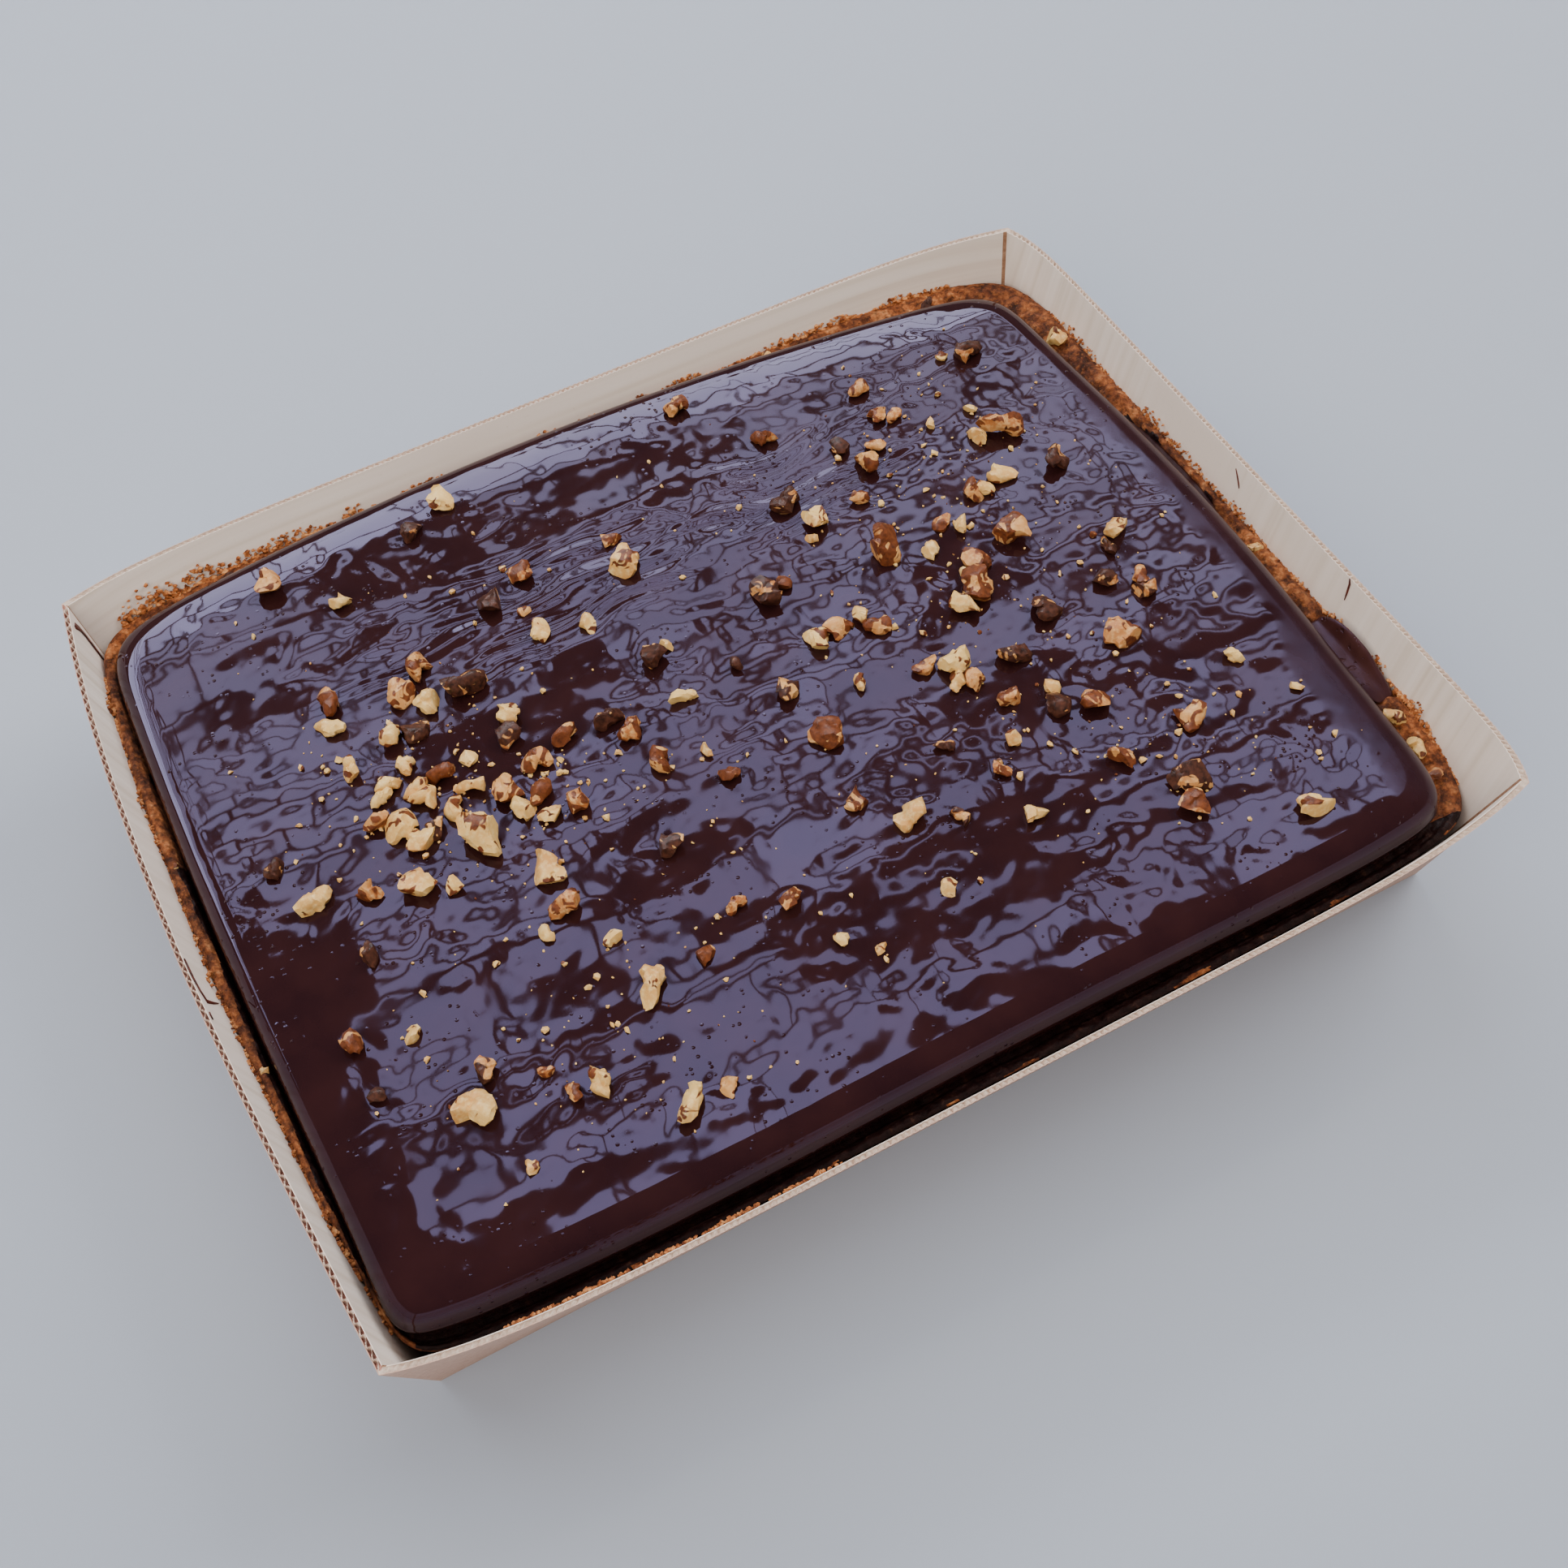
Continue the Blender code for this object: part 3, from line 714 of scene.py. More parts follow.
def build_tray_piece():
    columns = []
    for side in SIDES:
        length = 2 * (RIM_X if side in ("front", "back") else RIM_Y)
        pitch = 0.85 * MM if side in ("front", "back") else FLUTE / 9
        steps = int(length / pitch)
        for k in range(steps):
            u = -1.0 + 2.0 * k / steps
            s = u if side in ("front", "right") else -u
            columns.append((side, s))
    rings = []
    for v in LINER_UP:
        rings.append([wall_point(side, s, v, LINER) for side, s in columns])
    for share in ACROSS:
        ring = []
        for side, s in columns:
            p = wall_point(side, s, 1.0, LINER * (1 - share))
            reach = RIM_X if side in ("front", "back") else RIM_Y
            # no teeth right at the corners
            fade = min(1.0, (1 - abs(s)) * 40)
            p.z -= edge_drop(side, s * reach, share) * fade
            ring.append(p)
        rings.append(ring)
    for v in OUTER_DOWN:
        rings.append([wall_point(side, s, v) for side, s in columns])
    verts, faces = loft(rings)
    count = len(columns)
    close_ring(verts, faces, 0, count)
    close_ring(verts, faces, (len(rings) - 1) * count, count, True)
    tray = mesh_object("tray_board", verts, faces, board_material())
    for look in BOARD_LOOKS:
        tray.data.materials.append(fibre_material(*look))
    first = len(LINER_UP)
    last = first + len(ACROSS) - 1
    index = [0] * len(tray.data.polygons)
    for i in range(len(index)):
        ring, column = divmod(i, count)
        side, s = columns[column]
        if first + 1 <= ring < last - 1:
            share = (ACROSS[ring - first] + ACROSS[ring - first + 1]) / 2
            drop = edge_drop(side, s * RIM_Y, share) if side == "left" else 0
            index[i] = OPEN_FLUTE if drop > HOLLOW else CUT_EDGE
        # the outside takes the pinkish colour darkened by painted shade
        elif ring >= last - 1:
            index[i] = OUTSIDE
        # a thin strip down each inner corner takes painted shade for the slit
        # there
        elif 0 < ring and abs(s) > CREASE_FROM:
            index[i] = CORNER_SHADE
    tray.data.polygons.foreach_set("material_index", index)
    tray.data.set_sharp_from_angle(angle=math.radians(30))
    tray.data.update()
    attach(tray, "root")
    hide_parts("tray")


# Flank of the slab, in millimetres: height, reach of the puddle, inset
PUDDLE_RINGS = (
    (38.0, 5.2, 2.0), (41.6, 5.2, 1.5), (43.0, 4.8, 1.3), (43.6, 3.6, 1.1),
    (43.9, 1.4, 1.0), (44.8, 0.4, 1.2),
)


def puddle(p):
    """How far the slab's foot spreads over the crust at a place, 0 to 1."""
    if p.x < RIGHT_PART:
        return 0.0
    return math.exp(-((p.y - PUDDLE_AT) / PUDDLE_HALF) ** 4)


def under_lump(p):
    """How far the crust gives way to the lump of ganache, 0 to 1."""
    if p.x < RIGHT_PART:
        return 0.0
    return math.exp(-((p.y - BLOB_AT[1]) / (BLOB_HALF[1] * 0.97)) ** 8)


def sunk(z, bed, share):
    """A height drawn down to a bed, by a share of 0 to 1."""
    return z * (1 - share) + min(z, bed) * share


# Sponge

def sponge_material():
    m = Mat("sponge", Roughness=0.9)
    coarse = m.noise(260.0, 4.0, 0.65)
    fine = m.noise(900.0, 3.0, 0.6)
    broad = m.noise(45.0, 3.0)
    base = m.ramp(coarse, [
        (0.30, srgb(56, 26, 12)), (0.44, srgb(118, 62, 30)),
        (0.56, srgb(168, 98, 52)), (0.72, srgb(214, 152, 98))])
    dark = m.ramp(coarse, [
        (0.34, srgb(34, 16, 9)), (0.52, srgb(92, 46, 24)),
        (0.74, srgb(156, 90, 48))])
    tone = m.mix(m.grey(broad, 0.42, 0.62), base, dark)
    # Painted shade: each crumb cell runs to near black towards its edges,
    # standing for the shade in the crevices between crumbs
    grain = m.node("TexVoronoi")
    m.link(m.coords(), grain.inputs["Vector"])
    grain.inputs["Scale"].default_value = 760.0
    gaps = m.grey(grain.outputs["Distance"], 0.50, 1.0, 0.0, 0.8)
    tone = m.mix(gaps, tone, (0.022, 0.009, 0.005, 1))
    m.set("Base Color", m.mix(m.grey(fine, 0.55, 0.8, 0.0, 0.5), tone,
                              srgb(198, 120, 58)))
    m.set("Normal", m.bump(coarse, 0.0012, 0.8,
                           m.bump(fine, 0.0004, 0.7)))
    return m.mat


def loose_material():
    m = Mat("loose_crumb", Roughness=0.9)
    m.set("Base Color", m.ramp(m.noise(520.0, 2.0), [
        (0.34, srgb(96, 48, 24)), (0.50, srgb(164, 96, 50)),
        (0.68, srgb(208, 148, 94))]))
    return m.mat


# Dark crumb: ganache over the crust, and painted shade where the gap beside
# the slab and the front moat lie in shadow
def soaked_and_shaded_material():
    m = Mat("soaked_and_shaded_crumb", Roughness=0.5)
    m.shader.inputs["Specular IOR Level"].default_value = 0.25
    lumps = m.noise(380.0, 3.0, 0.6)
    m.set("Base Color", m.ramp(lumps, [
        (0.35, (0.008, 0.003, 0.003, 1)), (0.62, (0.020, 0.007, 0.006, 1)),
        (0.74, (0.060, 0.024, 0.014, 1))]))
    m.set("Normal", m.bump(lumps, 0.0012, 0.8))
    return m.mat


def is_soaked_and_shaded(side, s, t, p):
    """Whether the crust at a place takes the dark crumb: partly ganache over
    it, partly painted shade in the deep gap beside the slab, all along the
    front.
    """
    t += 0.28 * n3(p.x / 0.011, p.y / 0.011, 71.0)
    if side == "front":
        bare = n3(p.x / 0.017, 4.0, 9.0) > 0.16 or abs(s) > 0.90
        return t > (0.05 if bare else -9.0)
    if side == "left":
        return t > (0.44 if s < 0.30 else 0.82)
    if side == "right":
        return t > 0.44 if puddle(p) + under_lump(p) > 0.5 else t > 0.93
    return t > 0.93


# Sponge rings: shares of the way up the wall, then even steps from the wall
# to the slab. The crust swells up to its brow and then falls to the slab.
SPONGE_UP = (0.0, 0.35, 0.7, 0.85, 0.93)
CRUST_STEPS = 22
CRUST_BROW = 0.55


def crumbs(p):
    """Rough height of the crumb at a place, about -1 to 1."""
    a = n3(p.x / 0.0052, p.y / 0.0052, p.z / 0.006 + 3)
    b = n3(p.x / 0.0022, p.y / 0.0022, p.z / 0.003 + 7)
    c = abs(n3(p.x / 0.0013, p.y / 0.0013, p.z / 0.002 + 11))
    near = noise.voronoi(p / 0.0021)[0][0]
    return 0.6 * a + 0.5 * b - 0.6 * c + 0.6 * (0.5 - near)


def build_sponge_piece():
    times = 6
    heights = crust_heights()
    low = wall_outline([BOARD + GAP] * len(heights), CRUST_WALL)
    high = wall_outline(heights, CRUST_WALL)
    foot = slab_outline(CRUST_FOOT)
    low, high, foot = (refine(r, times) for r in (low, high, foot))
    rings = [[a.lerp(b, t) for a, b in zip(low, high)] for t in SPONGE_UP]
    spans = CRUST_STEPS
    for k in range(spans + 1):
        t = k / spans
        ring = []
        for w, f in zip(high, foot):
            h = w.z
            side = moat(h)
            wide = math.hypot(w.x - f.x, w.y - f.y)
            rough = min(1.0, wide / (6 * MM)) ** 1.5
            ends = min(1.0, 8 * t) * min(1.0, 6 * (1 - t))
            if t < CRUST_BROW:
                z = h + 0.9 * MM * math.sin(t / CRUST_BROW * math.pi)
            else:
                q = (t - CRUST_BROW) / 0.45
                z = h + (side - h) * (q * q * (3 - 2 * q))
            p = Vector((w.x + (f.x - w.x) * t, w.y + (f.y - w.y) * t, z))
            p.z += 1.15 * MM * crumbs(p) * rough * (0.35 + 0.65 * ends)
            sink = max(0.0, min(1.0, (t - 0.30) / 0.16)) * puddle(p)
            p.z = sunk(p.z, PUDDLE_BED, sink)
            p.z = sunk(p.z, LUMP_BED, under_lump(p))
            ring.append(p)
        rings.append(ring)
    rings.append([Vector((f.x * CORE, f.y * CORE, SPONGE_TOP))
                  for f in foot])
    verts, faces = loft(rings)
    count = len(rings[0])
    close_ring(verts, faces, 0, count)
    close_ring(verts, faces, (len(rings) - 1) * count, count, True)
    sponge = mesh_object("sponge_crumb", verts, faces, sponge_material())
    # the second material is the dark crumb: ganache, and painted shade in the
    # gap by the slab
    sponge.data.materials.append(soaked_and_shaded_material())
    stations = dense_stations()
    index = []
    for i in range(len(sponge.data.polygons)):
        ring, column = divmod(i, count)
        if ring < len(SPONGE_UP) or ring >= len(rings) - 1:
            index.append(0)
            continue
        side, s = stations[column // times]
        t = (ring - len(SPONGE_UP) + 0.5) / spans
        middle = sponge.data.polygons[i].center
        index.append(1 if is_soaked_and_shaded(side, s, t, middle) else 0)
    sponge.data.polygons.foreach_set("material_index", index)
    sponge.data.update()
    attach(sponge, "root")
    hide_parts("sponge")


# Crumbs stuck high on the front wall: station in millimetres and spread
STUCK = ((-58, 9), (-74, 5), (-79, 6), (-90, 4), (-97, 6), (-109, 5),
         (-115, 4), (-124, 6), (-131, 4))
# Crumbs just over the crust on the other walls: side, how many, and in
# millimetres where they begin and end and the height they start from
CLINGING = (
    ("back", 1700, -152, 142, 42.8), ("right", 700, -118, 108, 42.4),
    ("left", 600, -120, 114, 43.8),
)


def build_stuck_crumbs(mat):
    """Bits of crumb high on the front wall and low on the other three."""
    rng = random.Random(8)
    verts, faces = [], []
    spots = []
    for middle, spread in STUCK:
        for _ in range(int(spread * 7)):
            a = middle + rng.gauss(0, spread * 0.5)
            spots.append(("front", a, rng.uniform(51.0, 55.6),
                          rng.uniform(0.5, 1.5)))
    for side, count, low_a, high_a, base in CLINGING:
        for _ in range(count):
            a = rng.uniform(low_a, high_a)
            tall = 1.6 + 4.5 * n3(a * 0.075, 2.0, base)
            foot = base
            if side == "back":
                tall += 5.2 * max(0.0, -a - 62) / 90
            for name, end, start, span, depth in CRUST_SINKS:
                if side == name:
                    reach = end * a / SHORT_HALF
                    foot -= depth * max(0.0, reach - start) / span
            up = rng.random() ** 2.2
            z = foot + up * max(0.3, tall)
            most = 2.3 - 1.3 * up + (0.6 if side == "back" else 0.0)
            spots.append((side, a, z, rng.uniform(0.7, most)))
    for side, along, z, size in spots:
        size *= MM
        p = wall_at(side, along * MM, z * MM, LINER + 0.35 * size)
        points, parts = nut_form(rng, 1)
        first = len(verts)
        verts.extend(p + q * size for q in points)
        faces.extend(tuple(first + i for i in part) for part in parts)
    crumbs = mesh_object("sponge_crumbs_loose", verts, faces, mat, False)
    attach(crumbs, "root")
    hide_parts("sponge")


# Ganache

def ganache_material():
    m = Mat("ganache")
    m.shader.inputs["Specular IOR Level"].default_value = 0.62
    m.shader.inputs["Specular Tint"].default_value = (0.45, 0.43, 0.82, 1)
    tone = m.noise(60.0, 3.0)
    m.set("Base Color", m.ramp(tone, [
        (0.35, (0.018, 0.0052, 0.0054, 1)),
        (0.65, (0.025, 0.0075, 0.0070, 1))]))
    split = m.node("SeparateXYZ")
    m.link(m.coords(), split.inputs[0])
    edge = m.math("ADD", split.outputs[0], m.grey(tone, 0.3, 0.7, -0.003,
                                                  0.003))
    near = m.grey(split.outputs[1], -0.075, -0.035, 0.009, 0.0)
    edge = m.math("ADD", edge, near)
    m.set("Roughness", m.grey(edge, 0.141, 0.150, 0.032, 0.30))
    cell = m.node("TexVoronoi")
    m.link(m.coords(), cell.inputs["Vector"])
    cell.inputs["Scale"].default_value = 620.0
    dome = m.grey(cell.outputs["Distance"], 0.10, 0.34, 1.0, 0.0)
    pick = m.node("SeparateColor")
    m.link(cell.outputs["Color"], pick.inputs[0])
    few = m.math("GREATER_THAN", pick.outputs[0], 0.80)
    crowd = m.grey(m.noise(38.0, 2.0, 0.6), 0.50, 0.60)
    bubbles = m.math("MULTIPLY", m.math("MULTIPLY", dome, few), crowd)
    m.set("Normal", m.bump(bubbles, 0.00030, 0.8))
    return m.mat


def ripple(x, y):
    """Height of the slab's wavy top above its mean, as in the solid."""
    warp = n3(x / 0.075, y / 0.04, 3.0)
    drift = n3(x / 0.14, y / 0.09, 8.0)
    long_wave = math.sin(y / 0.0042 + 4.2 * warp + 9.0 * x)
    swell = n3(x / 0.05, y / 0.022, 5.0)
    return MM * (0.030 * long_wave + 0.10 * swell + 0.4 * drift)


def cells(x, y):
    """Small wrinkles of the slab's skin, in metres."""
    wx = n3(x / 0.018, y / 0.012, 21.0)
    wy = n3(x / 0.018, y / 0.012, 31.0)
    a = n3((x + 0.005 * wx) / 0.0068, (y + 0.004 * wy) / 0.0076, 11.0)
    b = n3((x + 0.003 * wy) / 0.0036, (y + 0.003 * wx) / 0.0040, 12.0)
    much = max(0.55, min(1.1, 0.80 + 1.6 * n3(x / 0.035, y / 0.022, 41.0)))
    # calmer skin near the far left corner
    calm = ((x + 0.135) / 0.035) ** 2 + ((y - 0.075) / 0.045) ** 2
    much *= 1 - 0.45 * math.exp(-calm)
    # close creases across the middle of the back half
    crease = math.exp(-((y - 0.066) / 0.015) ** 2)
    crease *= math.exp(-((x + 0.005) / 0.080) ** 4)
    crease *= max(0.0, min(1.0, 0.42 + 2.4 * n3(x / 0.030, y / 0.007, 61.0)))
    turn = y / 0.00165 + 6.5 * n3(x / 0.030, y / 0.016, 62.0) - 12.0 * x
    return MM * (much * (0.056 * a + 0.020 * b)
                 + 0.15 * crease * math.sin(turn))


def fall(x, y):
    """How the top sinks towards the far edge and the left edge."""
    edge = SLAB_FACE_IN + SHOULDER
    bend = ((x - BACK_MIDDLE) / (140 * MM)) ** 2
    far = SLAB_BACK - edge - BACK_DROP * bend - y
    near = x - SLAB_LEFT - edge
    back = math.exp(-max(0.0, far) / (5 * MM))
    left = math.exp(-max(0.0, near) / (4 * MM))
    left *= max(0.0, min(1.0, y / (20 * MM)))
    return -MM * (0.55 * back + 0.25 * left)


def top_wave(x, y):
    return ripple(x, y) + cells(x, y) + fall(x, y)


def top_height(x, y):
    return SLAB_TOP + top_wave(x, y)


def coons(loop, nx, ny):
    """Rows of points that fill a closed loop of four sides."""
    front = loop[0:nx + 1]
    right = loop[nx:nx + ny + 1]
    back = list(reversed(loop[nx + ny:2 * nx + ny + 1]))
    left = list(reversed(loop[2 * nx + ny:] + loop[:1]))
    rows = []
    for j in range(ny + 1):
        v = j / ny
        row = []
        for i in range(nx + 1):
            u = i / nx
            p = front[i] * (1 - v) + back[i] * v
            p += left[j] * (1 - u) + right[j] * u
            p -= front[0] * (1 - u) * (1 - v) + front[nx] * u * (1 - v)
            p -= back[0] * (1 - u) * v + back[nx] * u * v
            row.append(p)
        rows.append(row)
    return rows


def build_slab_piece():
    times = 5
    nx, ny = DENSE_X * times, DENSE_Y * times

    def ring_at(z, out, inset):
        ring = []
        for p in refine(slab_outline(inset), times):
            q = p.copy()
            q.x += out * puddle(p)
            q.z = z
            ring.append(q)
        return ring

    beds = [Vector((moat(h), 0, 0)) for h in crust_heights()]
    inner = ring_at(SPONGE_TOP + GAP, 0.0, CRUST_FOOT)
    for q in inner:
        q.x *= CORE
        q.y *= CORE
    foot = ring_at(SPONGE_TOP, 4.0 * MM, FOOT_IN + 1.0 * MM)
    for q, bed in zip(foot, refine(beds, times)):
        q.z = bed.x + 0.3 * (SPONGE_TOP - bed.x) + GAP + 0.1 * MM
    rings = [inner, foot]
    for z, out, inset in PUDDLE_RINGS:
        rings.append(ring_at(z * MM, out * MM, inset * MM))
    steps = 9
    for k in range(steps):
        a = math.radians(90.0 * k / steps)
        inset = SLAB_FACE_IN + SHOULDER * (1 - math.cos(a))
        z = SLAB_TOP - SHOULDER * (1 - math.sin(a)) * 0.8
        ring = ring_at(z, 0.0, inset)
        for q in ring:
            share = math.sin(a) ** 3
            q.z += share * top_wave(q.x, q.y)
        rings.append(ring)
    edge = refine(slab_outline(SLAB_FACE_IN + SHOULDER), times)
    grid = coons(edge, nx, ny)
    verts, faces = loft(rings)
    count = len(rings[0])
    base = len(verts)
    for row in grid:
        for p in row:
            verts.append(Vector((p.x, p.y, top_height(p.x, p.y))))

    def at(i, j):
        return base + j * (nx + 1) + i

    for j in range(ny):
        for i in range(nx):
            faces.append((at(i, j), at(i + 1, j), at(i + 1, j + 1),
                          at(i, j + 1)))
    border = [at(i, 0) for i in range(nx)]
    border += [at(nx, j) for j in range(ny)]
    border += [at(nx - i, ny) for i in range(nx)]
    border += [at(0, ny - j) for j in range(ny)]
    last = (len(rings) - 1) * count
    for i in range(count):
        j = (i + 1) % count
        faces.append((last + i, last + j, border[j], border[i]))
    close_ring(verts, faces, 0, count)
    slab = mesh_object("ganache_slab", verts, faces, ganache_material())
    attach(slab, "root")
    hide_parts("ganache")


def build_overflow_piece():
    """Tongue of ganache: a hollow valley, and a lip against the wall."""
    m = Mat("spilt_ganache", Roughness=0.33)
    m.shader.inputs["Specular IOR Level"].default_value = 0.45
    m.shader.inputs["Specular Tint"].default_value = (0.46, 0.42, 0.77, 1)
    tone = m.noise(120.0, 2.0)
    m.set("Base Color", m.ramp(tone, [
        (0.35, (0.040, 0.013, 0.011, 1)), (0.65, (0.062, 0.023, 0.019, 1))]))
    pits = m.grey(m.noise(330.0, 2.0, 0.6), 0.62, 0.72, 1.0, 0.0)
    m.set("Normal", m.bump(pits, 0.0006, 0.8))
    around, along = 48, 70
    seam = BLOB_AT[2] - 1.4 * MM
    rings = []
    for j in range(along + 1):
        v = -1.0 + 2.0 * j / along
        end = math.sqrt(max(0.0, 1.0 - abs(v) ** 2.6))
        end = max(end, 0.02)
        y = BLOB_AT[1] + v * BLOB_HALF[1]
        tall = math.exp(-((y + 0.059) / 0.0125) ** 4)
        ring = []
        for k in range(around):
            a = math.tau * k / around
            u, w = math.cos(a), math.sin(a)
            # u is 1 at the wall and -1 at the slab
            x = BLOB_AT[0] + BLOB_HALF[0] * u * (0.45 + 0.55 * end)
            if w >= 0:
                lip = math.exp(-((u - 0.62) / 0.36) ** 2)
                rise = 1.4 * MM + (2.0 + 3.6 * tall) * MM * lip
                z = seam + rise * w ** 0.5 * end
            else:
                z = seam + 3.0 * MM * w * end
            wave = 0.30 * MM * n3(y / 0.006, u * 1.5, 51.0) * end
            ring.append(Vector((x, y, z + wave)))
        rings.append(ring)
    verts, faces = loft(rings)
    close_ring(verts, faces, 0, around)
    close_ring(verts, faces, along * around, around, True)
    lump = mesh_object("overflow_lump", verts, faces, m.mat)
    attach(lump, "root")
    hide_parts("overflow")


# Smears of ganache on the walls: side, then station in millimetres, height
# and half width of each point
SMEARS = (
    ("right", ((4.5, 54.2, 0.10), (2.8, 52.6, 0.32), (1.2, 51.0, 0.30),
               (0.3, 50.0, 0.08))),
    ("right", ((-49.2, 56.8, 0.15), (-50.2, 55.4, 0.42), (-51.0, 52.8, 0.38),
               (-51.7, 50.3, 0.12))),
    ("left", ((-3.0, 56.0, 0.7), (-6.0, 55.8, 1.2), (-9.0, 55.7, 1.0),
              (-13.0, 55.0, 0.8), (-16.2, 53.7, 1.0), (-15.4, 50.5, 0.45),
              (-14.0, 47.0, 0.15))),
    ("left", ((-20.8, 55.6, 0.3), (-22.0, 55.6, 0.7), (-23.2, 55.6, 0.3))),
    ("left", ((122.0, 56.0, 0.5), (123.6, 55.0, 1.3), (124.6, 53.2, 1.2),
              (125.0, 50.0, 1.1), (125.0, 45.0, 1.3), (124.5, 41.0, 0.8))),
)


def build_smears():
    verts, faces = [], []
    around = 10
    for side, points in SMEARS:
        out = {"left": Vector((1, 0, 0)), "right": Vector((-1, 0, 0))}[side]
        spine = [wall_at(side, a * MM, z * MM, LINER) for a, z, _ in points]
        rings = []
        for i in range(len(spine)):
            way = spine[min(i + 1, len(spine) - 1)] - spine[max(i - 1, 0)]
            across = way.normalized().cross(out).normalized()
            half = points[i][2] * MM
            ring = []
            for k in range(around):
                a = math.tau * k / around
                ring.append(spine[i] + across * half * math.cos(a)
                            + out * (0.22 * MM * math.sin(a) + 0.1 * MM))
            rings.append(ring)
        first = len(verts)
        part, quads = loft(rings)
        close_ring(part, quads, 0, around)
        close_ring(part, quads, (len(rings) - 1) * around, around, True)
        verts += part
        faces += [tuple(first + i for i in q) for q in quads]
    m = Mat("smear", Roughness=0.4)
    m.set("Base Color", m.ramp(m.noise(500.0, 2.0), [
        (0.35, srgb(62, 26, 22)), (0.65, srgb(104, 52, 42))]))
    smears = mesh_object("ganache_smears", verts, faces, m.mat)
    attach(smears, "root")
    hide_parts("tray")


# Walnuts

def nut_material(name, skin_from, pale, skin):
    m = Mat(name, Roughness=0.42)
    patch = m.noise(170.0, 2.0, 0.6, None, 0.8)
    grain = m.noise(700.0, 3.0, 0.6)
    shade = m.noise(75.0, 1.0)
    kernel = m.mix(m.grey(shade, 0.36, 0.64), pale[0], pale[1])
    kernel = m.mix(m.grey(grain, 0.45, 0.75), kernel, pale[2])
    brown = m.mix(m.grey(grain, 0.3, 0.7), skin[0], skin[1])
    share = m.grey(patch, skin_from, skin_from + 0.025)
    m.set("Base Color", m.mix(share, kernel, brown))
    m.set("Normal", m.bump(grain, 0.00025, 0.6))
    return m.mat


def nut_form(rng, level):
    """Unit walnut piece: fused lobes, snapped faces, a dent, often bent."""
    bm = bmesh.new()
    bmesh.ops.create_icosphere(bm, subdivisions=level, radius=1.0)
    wide = rng.uniform(0.55, 0.85)
    high = rng.uniform(0.50, 0.75)
    seed = rng.uniform(0, 90)
    lobes = [(Vector((0, 0, 0)), rng.uniform(0.28, 0.38))]
    for _ in range(rng.randint(3, 6)):
        a = rng.uniform(0, math.tau)
        reach = rng.uniform(0.2, 0.6)
        centre = Vector((reach * math.cos(a), reach * math.sin(a) * wide,
                         rng.uniform(-0.2, 0.2)))
        lobes.append((centre, max(rng.uniform(0.22, 0.40),
                                  0.82 * centre.length)))
    cuts = []
    for _ in range(rng.randint(5, 9)):
        way = Vector((rng.uniform(-1, 1), rng.uniform(-1, 1),
                      rng.uniform(-0.3, 1))).normalized()
        cuts.append((way, rng.uniform(0.24, 0.56)))
    dent = Vector((rng.uniform(-1, 1), rng.uniform(-1, 1),
                   rng.uniform(0.1, 1))).normalized()
    depth = rng.uniform(0.0, 0.55)
    points = []
    for v in bm.verts:
        d = v.co.normalized()
        out = 0.0
        for centre, r in lobes:
            q = d.dot(centre)
            inside = r * r - centre.length_squared + q * q
            if inside > 0:
                out = max(out, q + math.sqrt(inside))
        hollow = max(0.0, (d.dot(dent) - 0.55) / 0.45)
        p = d * out * (1.0 - depth * hollow * (2 - hollow))
        fold = abs(noise.noise(p * 5.0 + Vector((0, seed, 0))))
        p *= 1.08 - 0.30 * min(fold * 2.5, 1.0) * 0.6
        for way, reach in cuts:
            over = p.dot(way) - reach
            if over > 0:
                p -= way * over * 0.96
        p += 0.030 * noise.noise_vector(p * 9 + Vector((0, 0, seed)))
        points.append(p)
    faces = [tuple(v.index for v in f.verts) for f in bm.faces]
    bm.free()
    bend = rng.choice((0.0, 0.0, 0.8, 1.3, 1.8))
    if bend:
        radius = 1.6 / bend
        for p in points:
            a = p.x / radius
            arm = radius + p.y * 0.8
            p.x, p.y = arm * math.sin(a), arm * math.cos(a) - radius
    spans = [max(p[i] for p in points) - min(p[i] for p in points)
             for i in range(3)]
    length = max(spans[0], spans[1])
    squat = min(1.0, spans[1] / spans[0] + 0.35)
    for p in points:
        p.x /= length
        p.y /= length
        p.z = p.z / spans[2] * high * squat
    return points, faces


def nut_shape(verts, faces, place, size, rng, level):
    """Adds one piece, resting a little into what it lies on."""
    points, parts = nut_form(rng, level)
    turn = Matrix.Rotation(rng.uniform(0, math.tau), 3, "Z")
    turn = turn @ Matrix.Rotation(rng.uniform(-0.5, 0.5), 3, "X")
    points = [turn @ p * size for p in points]
    low = min(p.z for p in points)
    first = len(verts)
    lift = Vector(place) - Vector((0, 0, low + 0.10 * size))
    verts.extend(p + lift for p in points)
    for part in parts:
        faces.append(tuple(first + i for i in part))


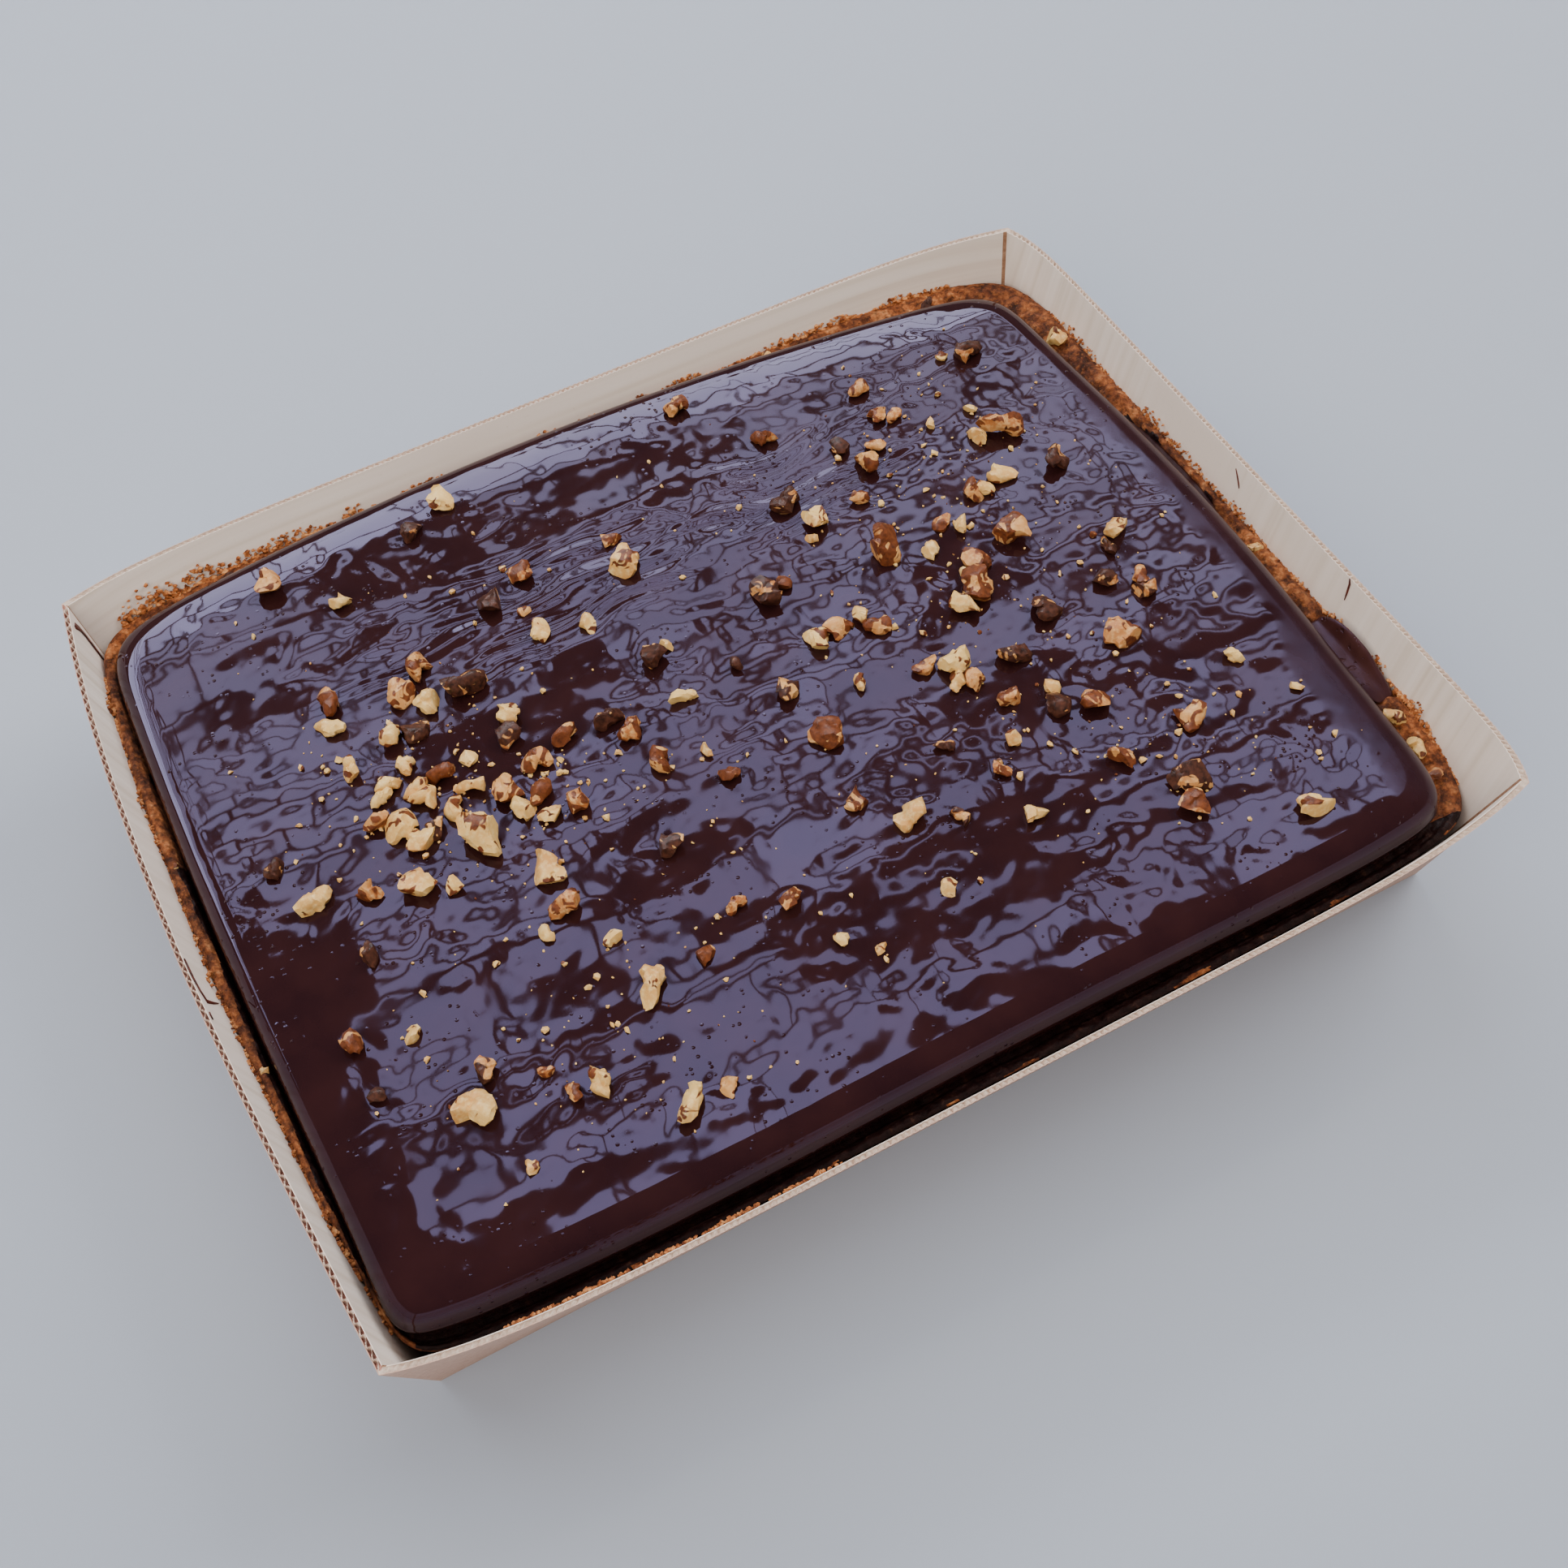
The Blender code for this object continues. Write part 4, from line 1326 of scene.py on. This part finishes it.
def build_nuts():
    pale = (srgb(230, 188, 112), srgb(210, 152, 84), srgb(238, 206, 142))
    tan = (srgb(208, 150, 88), srgb(172, 104, 54), srgb(222, 176, 118))
    skin = (srgb(126, 68, 36), srgb(76, 38, 22))
    dark = (srgb(88, 50, 36), srgb(38, 22, 18))
    kinds = {
        "p": ("walnuts_pale", nut_material("walnut_pale", 0.60, pale, skin)),
        "t": ("walnuts_tan", nut_material("walnut_tan", 0.48, tan, skin)),
        "d": ("walnuts_dark", nut_material("walnut_dark", 0.40, tan, dark)),
    }
    rng = random.Random(19)
    made = {k: ([], []) for k in kinds}
    for entry in NUTS.replace("\n", " ").split(","):
        x, y, length, kind = entry.split()
        x, y, size = float(x) * MM, float(y) * MM, float(length) * MM
        z = SLAB_TOP + ripple(x, y)
        level = 3 if size > 5.5 * MM else 2
        nut_shape(*made[kind], (x, y, z), size * 1.05, rng, level)
    high = wall_outline(crust_heights(), CRUST_WALL)
    foot = slab_outline(CRUST_FOOT)
    stations = dense_stations()
    for side, s, t, length, kind in RIM_NUTS:
        near = [abs(q - s) if n == side else 9.0 for n, q in stations]
        i = near.index(min(near))
        p = high[i].lerp(foot[i], t)
        nut_shape(*made[kind], (p.x, p.y, high[i].z - 0.3 * MM),
                  length * MM, rng, 3)
    for kind, (name, mat) in kinds.items():
        piece = mesh_object(name, *made[kind], mat)
        piece.data.set_sharp_from_angle(angle=math.radians(38))
        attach(piece, "root")
        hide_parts("ganache")
    verts, faces = [], []
    for _ in range(NUT_CRUMBS):
        if rng.random() < 0.75:
            cx, cy, spread = rng.choice(HEAPS)
            x = (cx + rng.gauss(0, spread)) * MM
            y = (cy + rng.gauss(0, spread * 0.7)) * MM
        else:
            x = rng.uniform(-140, 138) * MM
            y = rng.uniform(-108, 105) * MM
        if not (-0.145 < x < 0.138 and -0.110 < y < 0.105):
            continue
        size = rng.choice(CRUMB_SIZES) * MM
        z = SLAB_TOP + ripple(x, y)
        nut_shape(verts, faces, (x, y, z), size, rng, 1)
    piece = mesh_object("walnut_crumbs", verts, faces,
                        kinds["p"][1], smooth=False)
    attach(piece, "root")
    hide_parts("ganache")


make_camera()
make_lights()
make_floor()
build_tray_piece()
build_sponge_piece()
build_stuck_crumbs(loose_material())
build_slab_piece()
build_overflow_piece()
build_smears()
build_nuts()
